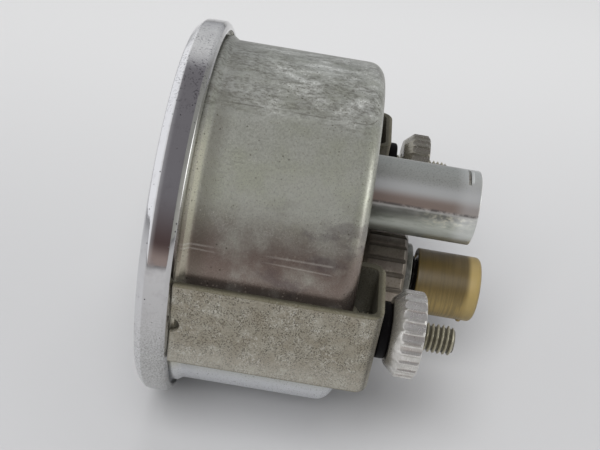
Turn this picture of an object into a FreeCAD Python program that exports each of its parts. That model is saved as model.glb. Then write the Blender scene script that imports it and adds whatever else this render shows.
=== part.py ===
import FreeCAD, Part
import math
import os

# Oil pressure gauge for a 52 mm panel hole. Millimetres. The origin is the centre of the seat
# plane, where the bezel's rear rim meets the panel. +Y runs to the rear, the dial faces -Y,
# +Z is up and the lamp tube is above the pressure port.

V = FreeCAD.Vector

# Fits between pieces
OVERSHOOT = 1.0         # reach of a cut or a joined piece past the face that it crosses
SLIP = 0.05             # radial gap of a shaft in its bore
PRESS = 0.02            # radial gap of the pointer's hub on its arbor
AIR = 0.1               # end play beside a turning piece
SEAT_GAP = 0.3          # gap of the case and a clamp leg beside it

# Case and bezel
CASE_R = 26.0
CASE_LENGTH = 23.7
CASE_WALL = 0.8
CASE_CORNER_R = 2.5
CASE_INSIDE_CHAMFER = 1.2
FLARE_STEP = 0.3
FLARE_LENGTH = 1.2
BEZEL_OVERHANG = 2.45   # bezel's rim beyond the case's side
BEZEL_DEPTH = 4.7
BEZEL_WALL = 0.7
BEZEL_BEVEL = 1.6       # sloping front edge
BEZEL_HEEL = 0.4        # chamfer of the rear rim's edge
BEZEL_LIP = 4.15        # width of the bezel's front lip
CRIMP_WALL = 0.6
LENS_THICKNESS = 2.0
LENS_BEVEL_GAP = 0.15   # lens's ground edge to the bevel inside the bezel
GASKET_WIDTH = 2.9
RIM_GAP = 0.35          # lens, gasket and case flange inside the bezel's wall

# Dial, its spacer ring and the pointer
DIAL_DEPTH = 3.8        # case flange front to the dial's face
DIAL_THICKNESS = 0.8
DIAL_HOLE_R = 2.0
SPACER_TAPER = 1.7
SPACER_WALL = 0.6
POINTER_LENGTH = 19.0
POINTER_TAIL = 6.5
POINTER_THICKNESS = 0.5
POINTER_GAP = 0.8       # pointer's underside to the dial's face
POINTER_HUB_R = 3.0
POINTER_HUB_RISE = 0.6
POINTER_HUB_CHAMFER = 0.5
POINTER_HUB_BORE = 0.2  # depth of the arbor's end in the hub, past the needle
POINTER_ROOT_WIDTH = 2.2
POINTER_TIP_WIDTH = 0.6
POINTER_TAIL_WIDTH = 3.5
POINTER_TAIL_CORNER_R = 0.4
POINTER_ZERO = -120.0   # degrees from straight up, clockwise seen from the front
DIAL_SCREW_X = 9.0
DIAL_SCREW_Z = 2.0
DIAL_SCREW_R = 0.8
DIAL_SCREW_HEAD_R = 1.5
DIAL_SCREW_HEAD = 0.5

# Movement: two plates, a toothed sector, a pinion and a hairspring
PLATE_THICKNESS = 1.0
FRONT_PLATE_GAP = 1.8   # dial's back to the front plate
PLATE_SPACING = 6.0
PLATE_LEFT = -11.0
PLATE_RIGHT = 11.5
PLATE_BOTTOM = -17.6
PLATE_TOP = 7.0
PLATE_CORNER_R = 2.0
PILLAR_R = 1.2
PLATE_SCREW_R = 0.6
PLATE_SCREW_HEAD_R = 1.2
PLATE_SCREW_HEAD = 0.7
PLATE_SCREW_GRIP = 2.0  # reach into the pillar
SCREW_SLOT = 0.3
PILLAR_PLACES = ((-6.5, 4.6), (8.0, 5.2), (-9.0, -13.0), (7.5, -15.8))
GEAR_MODULE = 0.35
PINION_TEETH = 10
SECTOR_FULL_TEETH = 70
SECTOR_TEETH_AFTER = 2
PRESSURE_ANGLE = 20.0
TOOTH_RELIEF = 0.03     # taken off each flank
SECTOR_ADDENDUM = 0.6   # in modules, short so that a ten-leaf pinion is not undercut
SECTOR_DEDENDUM = 1.3
PINION_ADDENDUM = 1.0
PINION_DEDENDUM = 1.55
PINION_SWEEP = 240.0
SECTOR_PIVOT_ANGLE = -60.0
SECTOR_STAND = 2.6      # front plate's back to the sector
SECTOR_THICKNESS = 0.8
SECTOR_RIM_WIDTH = 2.2
SECTOR_SPOKE_WIDTH = 1.8
SECTOR_HUB_R = 1.7
SECTOR_HUB_RISE = 0.6   # beyond each face of the sector
PINION_FACE = 2.8
ARBOR_R = 0.5
SECTOR_ARBOR_R = 0.6
ARBOR_INSET = 0.2       # arbor's end inside the plate's outer face
SHOULDER_R = 1.0
COLLET_R = 1.3
COLLET_GAP = 0.4        # front plate's back to the collet
COLLET_LENGTH = 0.8
HAIRSPRING_TURNS = 4
HAIRSPRING_OUTER_R = 4.4
HAIRSPRING_STRIP = 0.12
HAIRSPRING_WIDTH = 0.4
HAIRSPRING_GAP = 0.15   # collet to the inner turn
HAIRSPRING_POST_R = 0.4
HAIRSPRING_POST_GAP = 0.18

# Bourdon tube, its tip and the link to the sector's tail
TUBE_COIL_R = 20.5
TUBE_SECTION = 1.8
TUBE_HEIGHT = 6.0
TUBE_WALL = 0.25
TUBE_FLAT = 0.42        # end flat and shoulder of the section, as parts of its half thickness
TUBE_SHOULDER = 0.7
TUBE_SOCKET = 1.5       # depth of the tube's root in the block's arm
TUBE_END_ANGLE = -14.0
TAIL_LENGTH = 5.1
TAIL_ANGLE = -27.0
TAIL_WIDTH = 2.2
LINK_LENGTH = 9.06
LINK_ANGLE = 80.0       # from the tail pin up to the tip pin
LINK_WIDTH = 2.6
LINK_THICKNESS = 0.8
LINK_PIN_R = 0.6
LINK_PIN_HEAD_R = 1.3
LINK_PIN_HEAD = 0.5
OPEN_PIVOT_GAP = 0.35   # radial play where the linkage is left open
TIP_BLOCK = 3.0
TIP_WALL = 0.8          # tip block beyond each flat side of the tube
TIP_INSET = 0.4         # tip block short of the tube's height, at each end

# Lamp tube
LAMP_Z = 8.0
LAMP_R = 5.6
LAMP_WALL = 0.5
LAMP_STAND = 16.4       # out of the case's rear face
LAMP_FLANGE_R = 6.8
LAMP_FLANGE = 0.8
CATCH_LENGTH = 1.6      # from the slit to the tube's end
CATCH_SLIT = 0.4
CATCH_FROM = 85.0       # degrees about the tube's axis, from +X towards +Z
CATCH_TO = 125.0
CATCH_RISE = 0.25
CATCH_INSET = 0.15      # from the catch to the tube's end

# Pressure port
PORT_Z = -7.2
PORT_THREAD_R = 4.0
PORT_STAND = 18.5       # out of the case's rear face
PORT_CHAMFER = 0.5
PORT_BORE_R = 1.3
PORT_WASHER_R = 7.0
PORT_WASHER = 0.5
COLLAR_R = 7.5
COLLAR_LENGTH = 7.7
COLLAR_FACE_R = 6.0
COLLAR_CONE = 1.9
COLLAR_EDGE = 0.6
COLLAR_FLUTES = 20
LOCK_RING_R = 5.6
LOCK_RING = 1.1
LOCK_RING_CHAMFER = 0.3
BLOCK_BOSS_R = 6.0
BLOCK_BOSS_STEP = 0.5   # from the block's front face to the boss
BLOCK_HALF_WIDTH = 4.5
BLOCK_CORNER_R = 1.0
BLOCK_THICKNESS = 3.0
BLOCK_ARM_HALF = 4.0
BLOCK_ARM_CORNER_R = 0.5
BLOCK_ARM_WALL = 0.4    # arm beyond the tube's front edge
BLOCK_ARM_LOW_Z = -22.6
BLOCK_ARM_TOP_Z = -18.2
BLOCK_TOP_Z = -3.2
DRILL_R = 0.9
BLOCK_SCREW_X = 3.0
BLOCK_SCREW_DROP = 5.0  # below the port
BLOCK_SCREW_R = 0.7
BLOCK_SCREW_HEAD_R = 1.3
BLOCK_SCREW_HEAD = 0.5
BLOCK_SCREW_GRIP = 2.0  # reach into the block

# Protective cap
CAP_R = 5.12
CAP_GAP = 1.0           # bare thread between the lock ring and the cap
CAP_LENGTH = 10.0
CAP_BORE_GAP = 0.08
CAP_FLOOR = 1.5
CAP_EDGE = 0.5
NIB_R = 0.4
NIB_ROOT = 0.4          # depth in the cap's wall
NIB_RISE = 0.35
NIB_ANGLE = -55.0
NIB_INSET = 1.9         # from the cap's closed end

# Studs, clamp brackets, washers and thumb nuts
STUD_INSET = 4.6        # stud's axis inside the case's side
STUD_R = 2.0
STUD_STAND = 14.4       # out of the case's rear face
STUD_CHAMFER = 0.4
STUD_FOOT_R = 2.75
STUD_FOOT = 0.8
STUD_HOLE_GAP = 0.2
SHEET = 1.0
LEG_START_Y = 0.1       # play between the leg and the bezel's rear rim
FOOT_STAND = 3.85       # case's rear face to the rear of the bracket's foot
BRACKET_WIDTH = 13.4
BRACKET_BEND_R = 2.0    # outside of the bend
FOOT_LENGTH = 11.65     # from the leg's outer face to the lip's
LIP_GAP = 0.3           # lip's end to the case's rear face
NOTCH_R = 1.3
RUBBER_R = 3.9
RUBBER_THICKNESS = 1.6
NUT_R = 6.0
NUT_FACE_R = 4.6
NUT_CONE = 1.6
NUT_RIM = 2.7
NUT_EDGE = 0.35
FAR_NUT_BACK = 1.0      # the far nut is loose, this far back from its washer
NUT_FLUTES = 24
FLUTE_DEPTH = 0.4
FLUTE_SHARE = 0.62      # part of each pitch that the hollow takes

# Places that follow from the sizes above
BEZEL_R = CASE_R + BEZEL_OVERHANG
BEZEL_INNER_R = BEZEL_R - BEZEL_WALL
BEZEL_OPENING_R = BEZEL_R - BEZEL_LIP
BEZEL_INNER_BEVEL = BEZEL_BEVEL - (2.0 - math.sqrt(2.0)) * BEZEL_WALL
LENS_R = BEZEL_INNER_R - RIM_GAP
LENS_BEVEL = BEZEL_INNER_BEVEL - RIM_GAP + LENS_BEVEL_GAP
LENS_FRONT_Y = -BEZEL_DEPTH + BEZEL_WALL
LENS_REAR_Y = LENS_FRONT_Y + LENS_THICKNESS
FLANGE_REAR_Y = -CRIMP_WALL
FLANGE_FRONT_Y = FLANGE_REAR_Y - CASE_WALL
CASE_INNER_R = CASE_R - CASE_WALL
REAR_INSIDE_Y = CASE_LENGTH - CASE_WALL
LINER_R = CASE_INNER_R - SLIP
DIAL_FRONT_Y = FLANGE_FRONT_Y + DIAL_DEPTH
DIAL_REAR_Y = DIAL_FRONT_Y + DIAL_THICKNESS
ARBOR_FRONT_Y = DIAL_FRONT_Y - POINTER_GAP - POINTER_THICKNESS - POINTER_HUB_BORE
FRONT_PLATE_Y = DIAL_REAR_Y + FRONT_PLATE_GAP
FRONT_PLATE_END_Y = FRONT_PLATE_Y + PLATE_THICKNESS
COLLET_Y = FRONT_PLATE_END_Y + COLLET_GAP
COLLET_END_Y = COLLET_Y + COLLET_LENGTH
HAIRSPRING_POST_X = HAIRSPRING_OUTER_R + HAIRSPRING_STRIP + HAIRSPRING_POST_GAP + HAIRSPRING_POST_R
REAR_PLATE_Y = FRONT_PLATE_END_Y + PLATE_SPACING
REAR_PLATE_END_Y = REAR_PLATE_Y + PLATE_THICKNESS
SECTOR_Y = FRONT_PLATE_END_Y + SECTOR_STAND
SECTOR_END_Y = SECTOR_Y + SECTOR_THICKNESS
PINION_Y = SECTOR_Y + SECTOR_THICKNESS / 2.0 - PINION_FACE / 2.0
LINK_Y = SECTOR_END_Y + AIR
LINK_END_Y = LINK_Y + LINK_THICKNESS
PIN_END_Y = LINK_END_Y + AIR + LINK_PIN_HEAD
SECTOR_CENTRES = GEAR_MODULE * (SECTOR_FULL_TEETH + PINION_TEETH) / 2.0
SECTOR_X = SECTOR_CENTRES * math.cos(math.radians(SECTOR_PIVOT_ANGLE))
SECTOR_Z = SECTOR_CENTRES * math.sin(math.radians(SECTOR_PIVOT_ANGLE))
SECTOR_SWEEP = PINION_SWEEP * PINION_TEETH / SECTOR_FULL_TEETH
TAIL_X = SECTOR_X + TAIL_LENGTH * math.cos(math.radians(TAIL_ANGLE))
TAIL_Z = SECTOR_Z + TAIL_LENGTH * math.sin(math.radians(TAIL_ANGLE))
TIP_X = TAIL_X + LINK_LENGTH * math.cos(math.radians(LINK_ANGLE))
TIP_Z = TAIL_Z + LINK_LENGTH * math.sin(math.radians(LINK_ANGLE))
TUBE_MID_Y = (FRONT_PLATE_END_Y + REAR_PLATE_Y) / 2.0
BLOCK_SCREW_Z = PORT_Z - BLOCK_SCREW_DROP
LAMP_END_Y = CASE_LENGTH + LAMP_STAND
PORT_END_Y = CASE_LENGTH + PORT_STAND
WASHER_END_Y = CASE_LENGTH + PORT_WASHER
COLLAR_END_Y = WASHER_END_Y + COLLAR_LENGTH
CAP_START_Y = COLLAR_END_Y + LOCK_RING + CAP_GAP
CAP_END_Y = CAP_START_Y + CAP_LENGTH
STUD_X = CASE_R - STUD_INSET
STUD_END_Y = CASE_LENGTH + STUD_STAND
BRACKET_REAR_Y = CASE_LENGTH + FOOT_STAND
LEG_INNER_X = CASE_R + FLARE_STEP + SEAT_GAP / 2.0
LEG_OUTER_X = LEG_INNER_X + SHEET
FOOT_INNER_X = LEG_OUTER_X - FOOT_LENGTH
RUBBER_END_Y = BRACKET_REAR_Y + RUBBER_THICKNESS


def rounded_wire(corners):
    """Closed wire in the XY plane through (u, v, radius) corners, each rounded by its radius."""
    count = len(corners)
    pieces = []
    for i in range(count):
        before = V(corners[i - 1][0], corners[i - 1][1], 0)
        here = V(corners[i][0], corners[i][1], 0)
        after = V(corners[(i + 1) % count][0], corners[(i + 1) % count][1], 0)
        radius = corners[i][2]
        if radius <= 0:
            pieces.append((here, None, here))
            continue
        back = (before - here).normalize()
        ahead = (after - here).normalize()
        half = back.getAngle(ahead) / 2.0
        reach = radius / math.tan(half)
        middle = (back + ahead).normalize()
        centre = here + middle * (radius / math.sin(half))
        pieces.append((here + back * reach, centre - middle * radius, here + ahead * reach))
    edges = []
    for i in range(count):
        start, through, end = pieces[i]
        if through is not None:
            edges.append(Part.Arc(start, through, end).toShape())
        following = pieces[(i + 1) % count][0]
        if (following - end).Length > 1e-6:
            edges.append(Part.LineSegment(end, following).toShape())
    return Part.Wire(edges)


def turned(corners, x=0.0, z=0.0, angle=360.0):
    """Solid turned about a line along Y from (radius, y, corner radius) corners."""
    face = Part.Face(rounded_wire(corners))
    solid = face.revolve(V(0, 0, 0), V(0, 1, 0), angle)
    solid.translate(V(x, 0, z))
    return solid


def rod(radius, y0, y1, x=0.0, z=0.0):
    """Round bar along Y."""
    return Part.makeCylinder(radius, y1 - y0, V(x, y0, z), V(0, 1, 0))


def ring(outer, inner, y0, y1, x=0.0, z=0.0):
    """Round bar along Y with a hole through it."""
    return rod(outer, y0, y1, x, z).cut(hole(inner, y0, y1, x, z))


def hole(radius, y0, y1, x=0.0, z=0.0):
    """Tool that bores right through between two places along Y."""
    return rod(radius, y0 - OVERSHOOT, y1 + OVERSHOOT, x, z)


def stand_up(flat, y0, y1):
    """Turn a face drawn in x and z as (x, y, 0) into a plate between two places along Y."""
    plate = flat.extrude(V(0, 0, y1 - y0))
    plate.rotate(V(0, 0, 0), V(1, 0, 0), 90)
    plate.translate(V(0, y1, 0))
    return plate


def plate(corners, y0, y1):
    """Flat plate with (x, z, corner radius) corners."""
    return stand_up(Part.Face(rounded_wire(corners)), y0, y1)


def bar(start, end, width, y0, y1):
    """Flat bar with round ends between two (x, z) places."""
    along = V(end[0] - start[0], end[1] - start[1], 0)
    side = V(-along.y, along.x, 0).normalize() * (width / 2.0)
    body = [(start[0] - side.x, start[1] - side.y, 0), (end[0] - side.x, end[1] - side.y, 0),
            (end[0] + side.x, end[1] + side.y, 0), (start[0] + side.x, start[1] + side.y, 0)]
    solid = plate(body, y0, y1)
    ends = [rod(width / 2.0, y0, y1, place[0], place[1]) for place in (start, end)]
    return solid.multiFuse(ends).removeSplitter()


def fluted_bar(radius, flutes, y0, y1, x, z):
    """Round bar along Y with evenly spaced hollow flutes down its side."""
    pitch = 2.0 * math.pi / flutes
    hollow = pitch * FLUTE_SHARE

    def at(angle, r):
        return V(r * math.cos(angle), r * math.sin(angle), 0)

    edges = []
    for i in range(flutes):
        a = i * pitch
        edges.append(Part.Arc(at(a, radius), at(a + hollow / 2.0, radius - FLUTE_DEPTH),
                              at(a + hollow, radius)).toShape())
        edges.append(Part.Arc(at(a + hollow, radius), at(a + (hollow + pitch) / 2.0, radius),
                              at(a + pitch, radius)).toShape())
    solid = stand_up(Part.Face(Part.Wire(edges)), y0, y1)
    solid.translate(V(x, 0, z))
    return solid


def slotted_screw(x, z, seat, end, shank_r, head_r, head):
    """Cheese-head screw along Y: its head sits in front of the seat, with a slot half its height."""
    top = rod(head_r, seat - head, seat, x, z)
    across = head_r + OVERSHOOT
    corner = V(x - across, seat - head, z - SCREW_SLOT / 2.0)
    slot = Part.makeBox(2.0 * across, head / 2.0, SCREW_SLOT, corner)
    return top.cut(slot).fuse(rod(shank_r, seat, end, x, z))


def involute(angle):
    """Involute function of a pressure angle in radians."""
    return math.tan(angle) - angle


def tooth_half_angle(teeth, radius):
    """Half the angle that one gear tooth takes at a radius, flank relief taken off."""
    pitch_r = GEAR_MODULE * teeth / 2.0
    pressure = math.radians(PRESSURE_ANGLE)
    base_r = pitch_r * math.cos(pressure)
    at_radius = math.acos(min(1.0, base_r / max(radius, base_r)))
    return math.pi / (2.0 * teeth) + involute(pressure) - involute(at_radius) - TOOTH_RELIEF / radius


def tooth_points(teeth, centre_angle, root_r, tip_r):
    """Points of one tooth from root to root, in (x, z) about the gear's centre."""
    pitch_r = GEAR_MODULE * teeth / 2.0
    base_r = pitch_r * math.cos(math.radians(PRESSURE_ANGLE))
    levels = sorted({root_r, max(base_r, root_r), pitch_r, tip_r})
    half = [tooth_half_angle(teeth, max(r, base_r)) for r in levels]
    rising = [(r, centre_angle - h) for r, h in zip(levels, half)]
    falling = [(r, centre_angle + h) for r, h in zip(levels, half)]
    polar = rising + falling[::-1]
    return [(r * math.cos(a), r * math.sin(a), 0) for r, a in polar]


def bezel_ring():
    """Chromed bezel: a front lip over the lens, a band and a rear lip crimped over the flange."""
    outer = BEZEL_R
    inner = BEZEL_INNER_R
    crimp_r = CASE_R + FLARE_STEP + SLIP
    return turned([
        (BEZEL_OPENING_R, LENS_FRONT_Y, 0),
        (BEZEL_OPENING_R, -BEZEL_DEPTH, 0),
        (outer - BEZEL_BEVEL, -BEZEL_DEPTH, 0),
        (outer, BEZEL_BEVEL - BEZEL_DEPTH, 0),
        (outer, -BEZEL_HEEL, 0),
        (outer - BEZEL_HEEL, 0, 0),
        (crimp_r, 0, 0),
        (crimp_r, FLANGE_REAR_Y, 0),
        (inner, FLANGE_REAR_Y, 0),
        (inner, LENS_FRONT_Y + BEZEL_INNER_BEVEL, 0),
        (inner - BEZEL_INNER_BEVEL, LENS_FRONT_Y, 0),
    ])


def lens_glass():
    """Flat glass with a ground bevel, behind the bezel's front lip."""
    return turned([
        (0, LENS_FRONT_Y, 0), (LENS_R - LENS_BEVEL, LENS_FRONT_Y, 0),
        (LENS_R, LENS_FRONT_Y + LENS_BEVEL, 0), (LENS_R, LENS_REAR_Y, 0), (0, LENS_REAR_Y, 0),
    ])


def lens_gasket():
    """Rubber ring between the glass and the case flange."""
    return ring(LENS_R, LENS_R - GASKET_WIDTH, LENS_REAR_Y, FLANGE_FRONT_Y)


def case_shell():
    """Drawn cup with a flared mouth flange and holes for the lamp tube and the port."""
    flare = CASE_R + FLARE_STEP
    shell = turned([
        (0, CASE_LENGTH, 0),
        (CASE_R, CASE_LENGTH, CASE_CORNER_R),
        (CASE_R, FLARE_LENGTH, 0),
        (flare, 0, 0),
        (flare, FLANGE_REAR_Y, 0),
        (LENS_R, FLANGE_REAR_Y, 0),
        (LENS_R, FLANGE_FRONT_Y, 0),
        (CASE_INNER_R, FLANGE_FRONT_Y, 0),
        (CASE_INNER_R, REAR_INSIDE_Y - CASE_INSIDE_CHAMFER, 0),
        (CASE_INNER_R - CASE_INSIDE_CHAMFER, REAR_INSIDE_Y, 0),
        (0, REAR_INSIDE_Y, 0),
    ])
    return shell.cut([hole(LAMP_R + SLIP, REAR_INSIDE_Y, CASE_LENGTH, 0, LAMP_Z),
                      hole(PORT_THREAD_R + SLIP, REAR_INSIDE_Y, CASE_LENGTH, 0, PORT_Z)])


def dial_spacer():
    """Conical ring that holds the dial back from the glass."""
    return turned([
        (LINER_R, FLANGE_FRONT_Y, 0),
        (LINER_R, DIAL_FRONT_Y, 0),
        (LINER_R - SPACER_TAPER - SPACER_WALL, DIAL_FRONT_Y, 0),
        (LINER_R - SPACER_WALL, FLANGE_FRONT_Y, 0),
    ])


def dial_plate():
    """Round dial with a hole for the arbor and two screw holes."""
    disc = ring(LINER_R, DIAL_HOLE_R, DIAL_FRONT_Y, DIAL_REAR_Y)
    return disc.cut([hole(DIAL_SCREW_R + SLIP, DIAL_FRONT_Y, DIAL_REAR_Y, side * DIAL_SCREW_X, DIAL_SCREW_Z)
                     for side in (-1, 1)])


def dial_screws():
    """Two low cheese-head screws that hold the dial to the front plate."""
    screws = []
    for side in (-1, 1):
        screws.append(slotted_screw(side * DIAL_SCREW_X, DIAL_SCREW_Z, DIAL_FRONT_Y, FRONT_PLATE_END_Y,
                                    DIAL_SCREW_R, DIAL_SCREW_HEAD_R, DIAL_SCREW_HEAD))
    return Part.makeCompound(screws)


def pointer():
    """Tapered needle with a counterweight tail and a raised hub, drawn upwards and then set to zero."""
    back = DIAL_FRONT_Y - POINTER_GAP
    front = back - POINTER_THICKNESS
    blade = plate([
        (-POINTER_ROOT_WIDTH / 2.0, 0, 0), (POINTER_ROOT_WIDTH / 2.0, 0, 0),
        (POINTER_TIP_WIDTH / 2.0, POINTER_LENGTH, 0), (-POINTER_TIP_WIDTH / 2.0, POINTER_LENGTH, 0),
    ], front, back)
    tail = plate([
        (-POINTER_TAIL_WIDTH / 2.0, -POINTER_TAIL, POINTER_TAIL_CORNER_R),
        (POINTER_TAIL_WIDTH / 2.0, -POINTER_TAIL, POINTER_TAIL_CORNER_R),
        (POINTER_ROOT_WIDTH / 2.0, 0, 0), (-POINTER_ROOT_WIDTH / 2.0, 0, 0),
    ], front, back)
    top = front - POINTER_HUB_RISE
    hub = turned([
        (0, top, 0), (POINTER_HUB_R - POINTER_HUB_CHAMFER, top, 0),
        (POINTER_HUB_R, top + POINTER_HUB_CHAMFER, 0), (POINTER_HUB_R, back, 0), (0, back, 0),
    ])
    needle = blade.multiFuse([tail, hub]).removeSplitter()
    needle = needle.cut(rod(ARBOR_R + PRESS, ARBOR_FRONT_Y, back + OVERSHOOT))
    needle.rotate(V(0, 0, 0), V(0, 1, 0), POINTER_ZERO)
    return needle


def pinion_arbor():
    """Pointer arbor with its ten-leaf pinion, bearing shoulders and hairspring collet."""
    tip_r = GEAR_MODULE * (PINION_TEETH / 2.0 + PINION_ADDENDUM)
    root_r = GEAR_MODULE * (PINION_TEETH / 2.0 - PINION_DEDENDUM)
    corners = []
    for i in range(PINION_TEETH):
        angle = math.radians(SECTOR_PIVOT_ANGLE) + 2.0 * math.pi * i / PINION_TEETH
        corners.extend(tooth_points(PINION_TEETH, angle, root_r, tip_r))
    leaves = plate(corners, PINION_Y, PINION_Y + PINION_FACE)
    shaft = rod(ARBOR_R, ARBOR_FRONT_Y, REAR_PLATE_END_Y - ARBOR_INSET)
    front_shoulder = rod(SHOULDER_R, FRONT_PLATE_END_Y + AIR, PINION_Y)
    rear_shoulder = rod(SHOULDER_R, PINION_Y + PINION_FACE, REAR_PLATE_Y - AIR)
    collet = rod(COLLET_R, COLLET_Y, COLLET_END_Y)
    return leaves.multiFuse([shaft, front_shoulder, rear_shoulder, collet]).removeSplitter()


def sector_gear():
    """Toothed sector: rim with teeth, two spokes, hub, tail with its pin, and arbor."""
    pitch = 2.0 * math.pi / SECTOR_FULL_TEETH
    mesh = math.radians(SECTOR_PIVOT_ANGLE + 180.0)
    before = int(math.ceil(math.radians(SECTOR_SWEEP) / pitch)) + SECTOR_TEETH_AFTER
    tip_r = GEAR_MODULE * (SECTOR_FULL_TEETH / 2.0 + SECTOR_ADDENDUM)
    root_r = GEAR_MODULE * (SECTOR_FULL_TEETH / 2.0 - SECTOR_DEDENDUM)
    inner_r = root_r - SECTOR_RIM_WIDTH
    first = mesh - before * pitch
    last = mesh + SECTOR_TEETH_AFTER * pitch
    corners = [(root_r * math.cos(first), root_r * math.sin(first), 0)]
    for i in range(before + SECTOR_TEETH_AFTER):
        corners.extend(tooth_points(SECTOR_FULL_TEETH, first + (i + 0.5) * pitch, root_r, tip_r))
    corners.append((root_r * math.cos(last), root_r * math.sin(last), 0))
    steps = 10
    for i in range(steps + 1):
        angle = last + (first - last) * i / steps
        corners.append((inner_r * math.cos(angle), inner_r * math.sin(angle), 0))
    rim = plate(corners, SECTOR_Y, SECTOR_END_Y)
    spoke_r = inner_r + SECTOR_RIM_WIDTH / 2.0
    pieces = []
    for angle in (first + pitch, last - pitch):
        end = (spoke_r * math.cos(angle), spoke_r * math.sin(angle))
        pieces.append(bar((0, 0), end, SECTOR_SPOKE_WIDTH, SECTOR_Y, SECTOR_END_Y))
    tail = (TAIL_X - SECTOR_X, TAIL_Z - SECTOR_Z)
    pieces.append(bar((0, 0), tail, TAIL_WIDTH, SECTOR_Y, SECTOR_END_Y))
    pieces.append(rod(LINK_PIN_R, SECTOR_Y, PIN_END_Y, tail[0], tail[1]))
    pieces.append(rod(LINK_PIN_HEAD_R, LINK_END_Y + AIR, PIN_END_Y, tail[0], tail[1]))
    pieces.append(rod(SECTOR_HUB_R, SECTOR_Y - SECTOR_HUB_RISE, SECTOR_END_Y + SECTOR_HUB_RISE))
    pieces.append(rod(SHOULDER_R, FRONT_PLATE_END_Y + AIR, REAR_PLATE_Y - AIR))
    pieces.append(rod(SECTOR_ARBOR_R, FRONT_PLATE_Y + ARBOR_INSET, REAR_PLATE_END_Y - ARBOR_INSET))
    sector = rim.multiFuse(pieces).removeSplitter()
    sector.translate(V(SECTOR_X, 0, SECTOR_Z))
    return sector


def hairspring():
    """Flat spiral strip around the collet, out to its post on the front plate."""
    y0 = (COLLET_Y + COLLET_END_Y - HAIRSPRING_WIDTH) / 2.0
    inner_r = COLLET_R + HAIRSPRING_GAP
    halves = 2 * HAIRSPRING_TURNS
    growth = (HAIRSPRING_OUTER_R - inner_r) / halves
    sides = []
    for offset in (0.0, HAIRSPRING_STRIP):
        arcs = []
        x = inner_r + offset
        for i in range(halves):
            radius = inner_r + offset + growth * (i + 0.5)
            way = 1 if i % 2 == 0 else -1
            middle = x - way * radius
            start = V(x, 0, 0)
            x = middle - way * radius
            arcs.append(Part.Arc(start, V(middle, way * radius, 0), V(x, 0, 0)).toShape())
        sides.append((arcs, x))
    start = Part.LineSegment(V(inner_r, 0, 0), V(inner_r + HAIRSPRING_STRIP, 0, 0)).toShape()
    end = Part.LineSegment(V(sides[0][1], 0, 0), V(sides[1][1], 0, 0)).toShape()
    strip = Part.Face(Part.Wire(sides[0][0] + [end] + sides[1][0][::-1] + [start]))
    return stand_up(strip, y0, y0 + HAIRSPRING_WIDTH)


def plate_outline(y0, y1):
    """Blank of a movement plate with its two bearing holes."""
    blank = plate([
        (PLATE_LEFT, PLATE_BOTTOM, PLATE_CORNER_R), (PLATE_RIGHT, PLATE_BOTTOM, PLATE_CORNER_R),
        (PLATE_RIGHT, PLATE_TOP, PLATE_CORNER_R), (PLATE_LEFT, PLATE_TOP, PLATE_CORNER_R),
    ], y0, y1)
    return blank.cut([hole(ARBOR_R + SLIP, y0, y1), hole(SECTOR_ARBOR_R + SLIP, y0, y1, SECTOR_X, SECTOR_Z)])


def movement_front_plate():
    """Front plate with two dial posts and the post of the hairspring's outer end."""
    body = plate_outline(FRONT_PLATE_Y, FRONT_PLATE_END_Y)
    posts = [rod(DIAL_SCREW_HEAD_R, DIAL_REAR_Y, FRONT_PLATE_END_Y, side * DIAL_SCREW_X, DIAL_SCREW_Z)
             for side in (-1, 1)]
    posts.append(rod(HAIRSPRING_POST_R, FRONT_PLATE_Y, COLLET_END_Y, HAIRSPRING_POST_X, 0))
    body = body.multiFuse(posts)
    holes = [hole(DIAL_SCREW_R + SLIP, DIAL_REAR_Y, FRONT_PLATE_END_Y, side * DIAL_SCREW_X, DIAL_SCREW_Z)
             for side in (-1, 1)]
    holes.extend(hole(PLATE_SCREW_R + SLIP, FRONT_PLATE_Y, FRONT_PLATE_END_Y, x, z) for x, z in PILLAR_PLACES)
    return body.cut(holes).removeSplitter()


def movement_rear_plate():
    """Rear plate, screwed to the port block."""
    body = plate_outline(REAR_PLATE_Y, REAR_PLATE_END_Y)
    return body.cut([
        hole(BLOCK_SCREW_R + SLIP, REAR_PLATE_Y, REAR_PLATE_END_Y, side * BLOCK_SCREW_X, BLOCK_SCREW_Z)
        for side in (-1, 1)
    ])


def movement_pillars():
    """Four pillars between the plates, each bored for its screw."""
    pillars = []
    for x, z in PILLAR_PLACES:
        pillars.append(ring(PILLAR_R, PLATE_SCREW_R + SLIP, FRONT_PLATE_END_Y, REAR_PLATE_Y, x, z))
    return Part.makeCompound(pillars)


def plate_screws():
    """Four screws through the front plate into the pillars."""
    end = FRONT_PLATE_END_Y + PLATE_SCREW_GRIP
    return Part.makeCompound([
        slotted_screw(x, z, FRONT_PLATE_Y, end, PLATE_SCREW_R, PLATE_SCREW_HEAD_R, PLATE_SCREW_HEAD)
        for x, z in PILLAR_PLACES
    ])


def block_screws():
    """Two screws that hold the movement to the port block."""
    end = REAR_PLATE_END_Y + BLOCK_SCREW_GRIP
    return Part.makeCompound([
        slotted_screw(side * BLOCK_SCREW_X, BLOCK_SCREW_Z, REAR_PLATE_Y, end,
                      BLOCK_SCREW_R, BLOCK_SCREW_HEAD_R, BLOCK_SCREW_HEAD)
        for side in (-1, 1)
    ])


def tube_section(grow):
    """Eight corners of the flattened tube's cross-section, grown by a margin on every side."""
    half = TUBE_SECTION / 2.0 + grow
    tall = TUBE_HEIGHT / 2.0 + grow
    flat = half * TUBE_FLAT
    side = tall - half * TUBE_SHOULDER
    around = [(-flat, -tall), (flat, -tall), (half, -side), (half, side),
              (flat, tall), (-flat, tall), (-half, side), (-half, -side)]
    return [(TUBE_COIL_R + u, TUBE_MID_Y + v, 0) for u, v in around]


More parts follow.
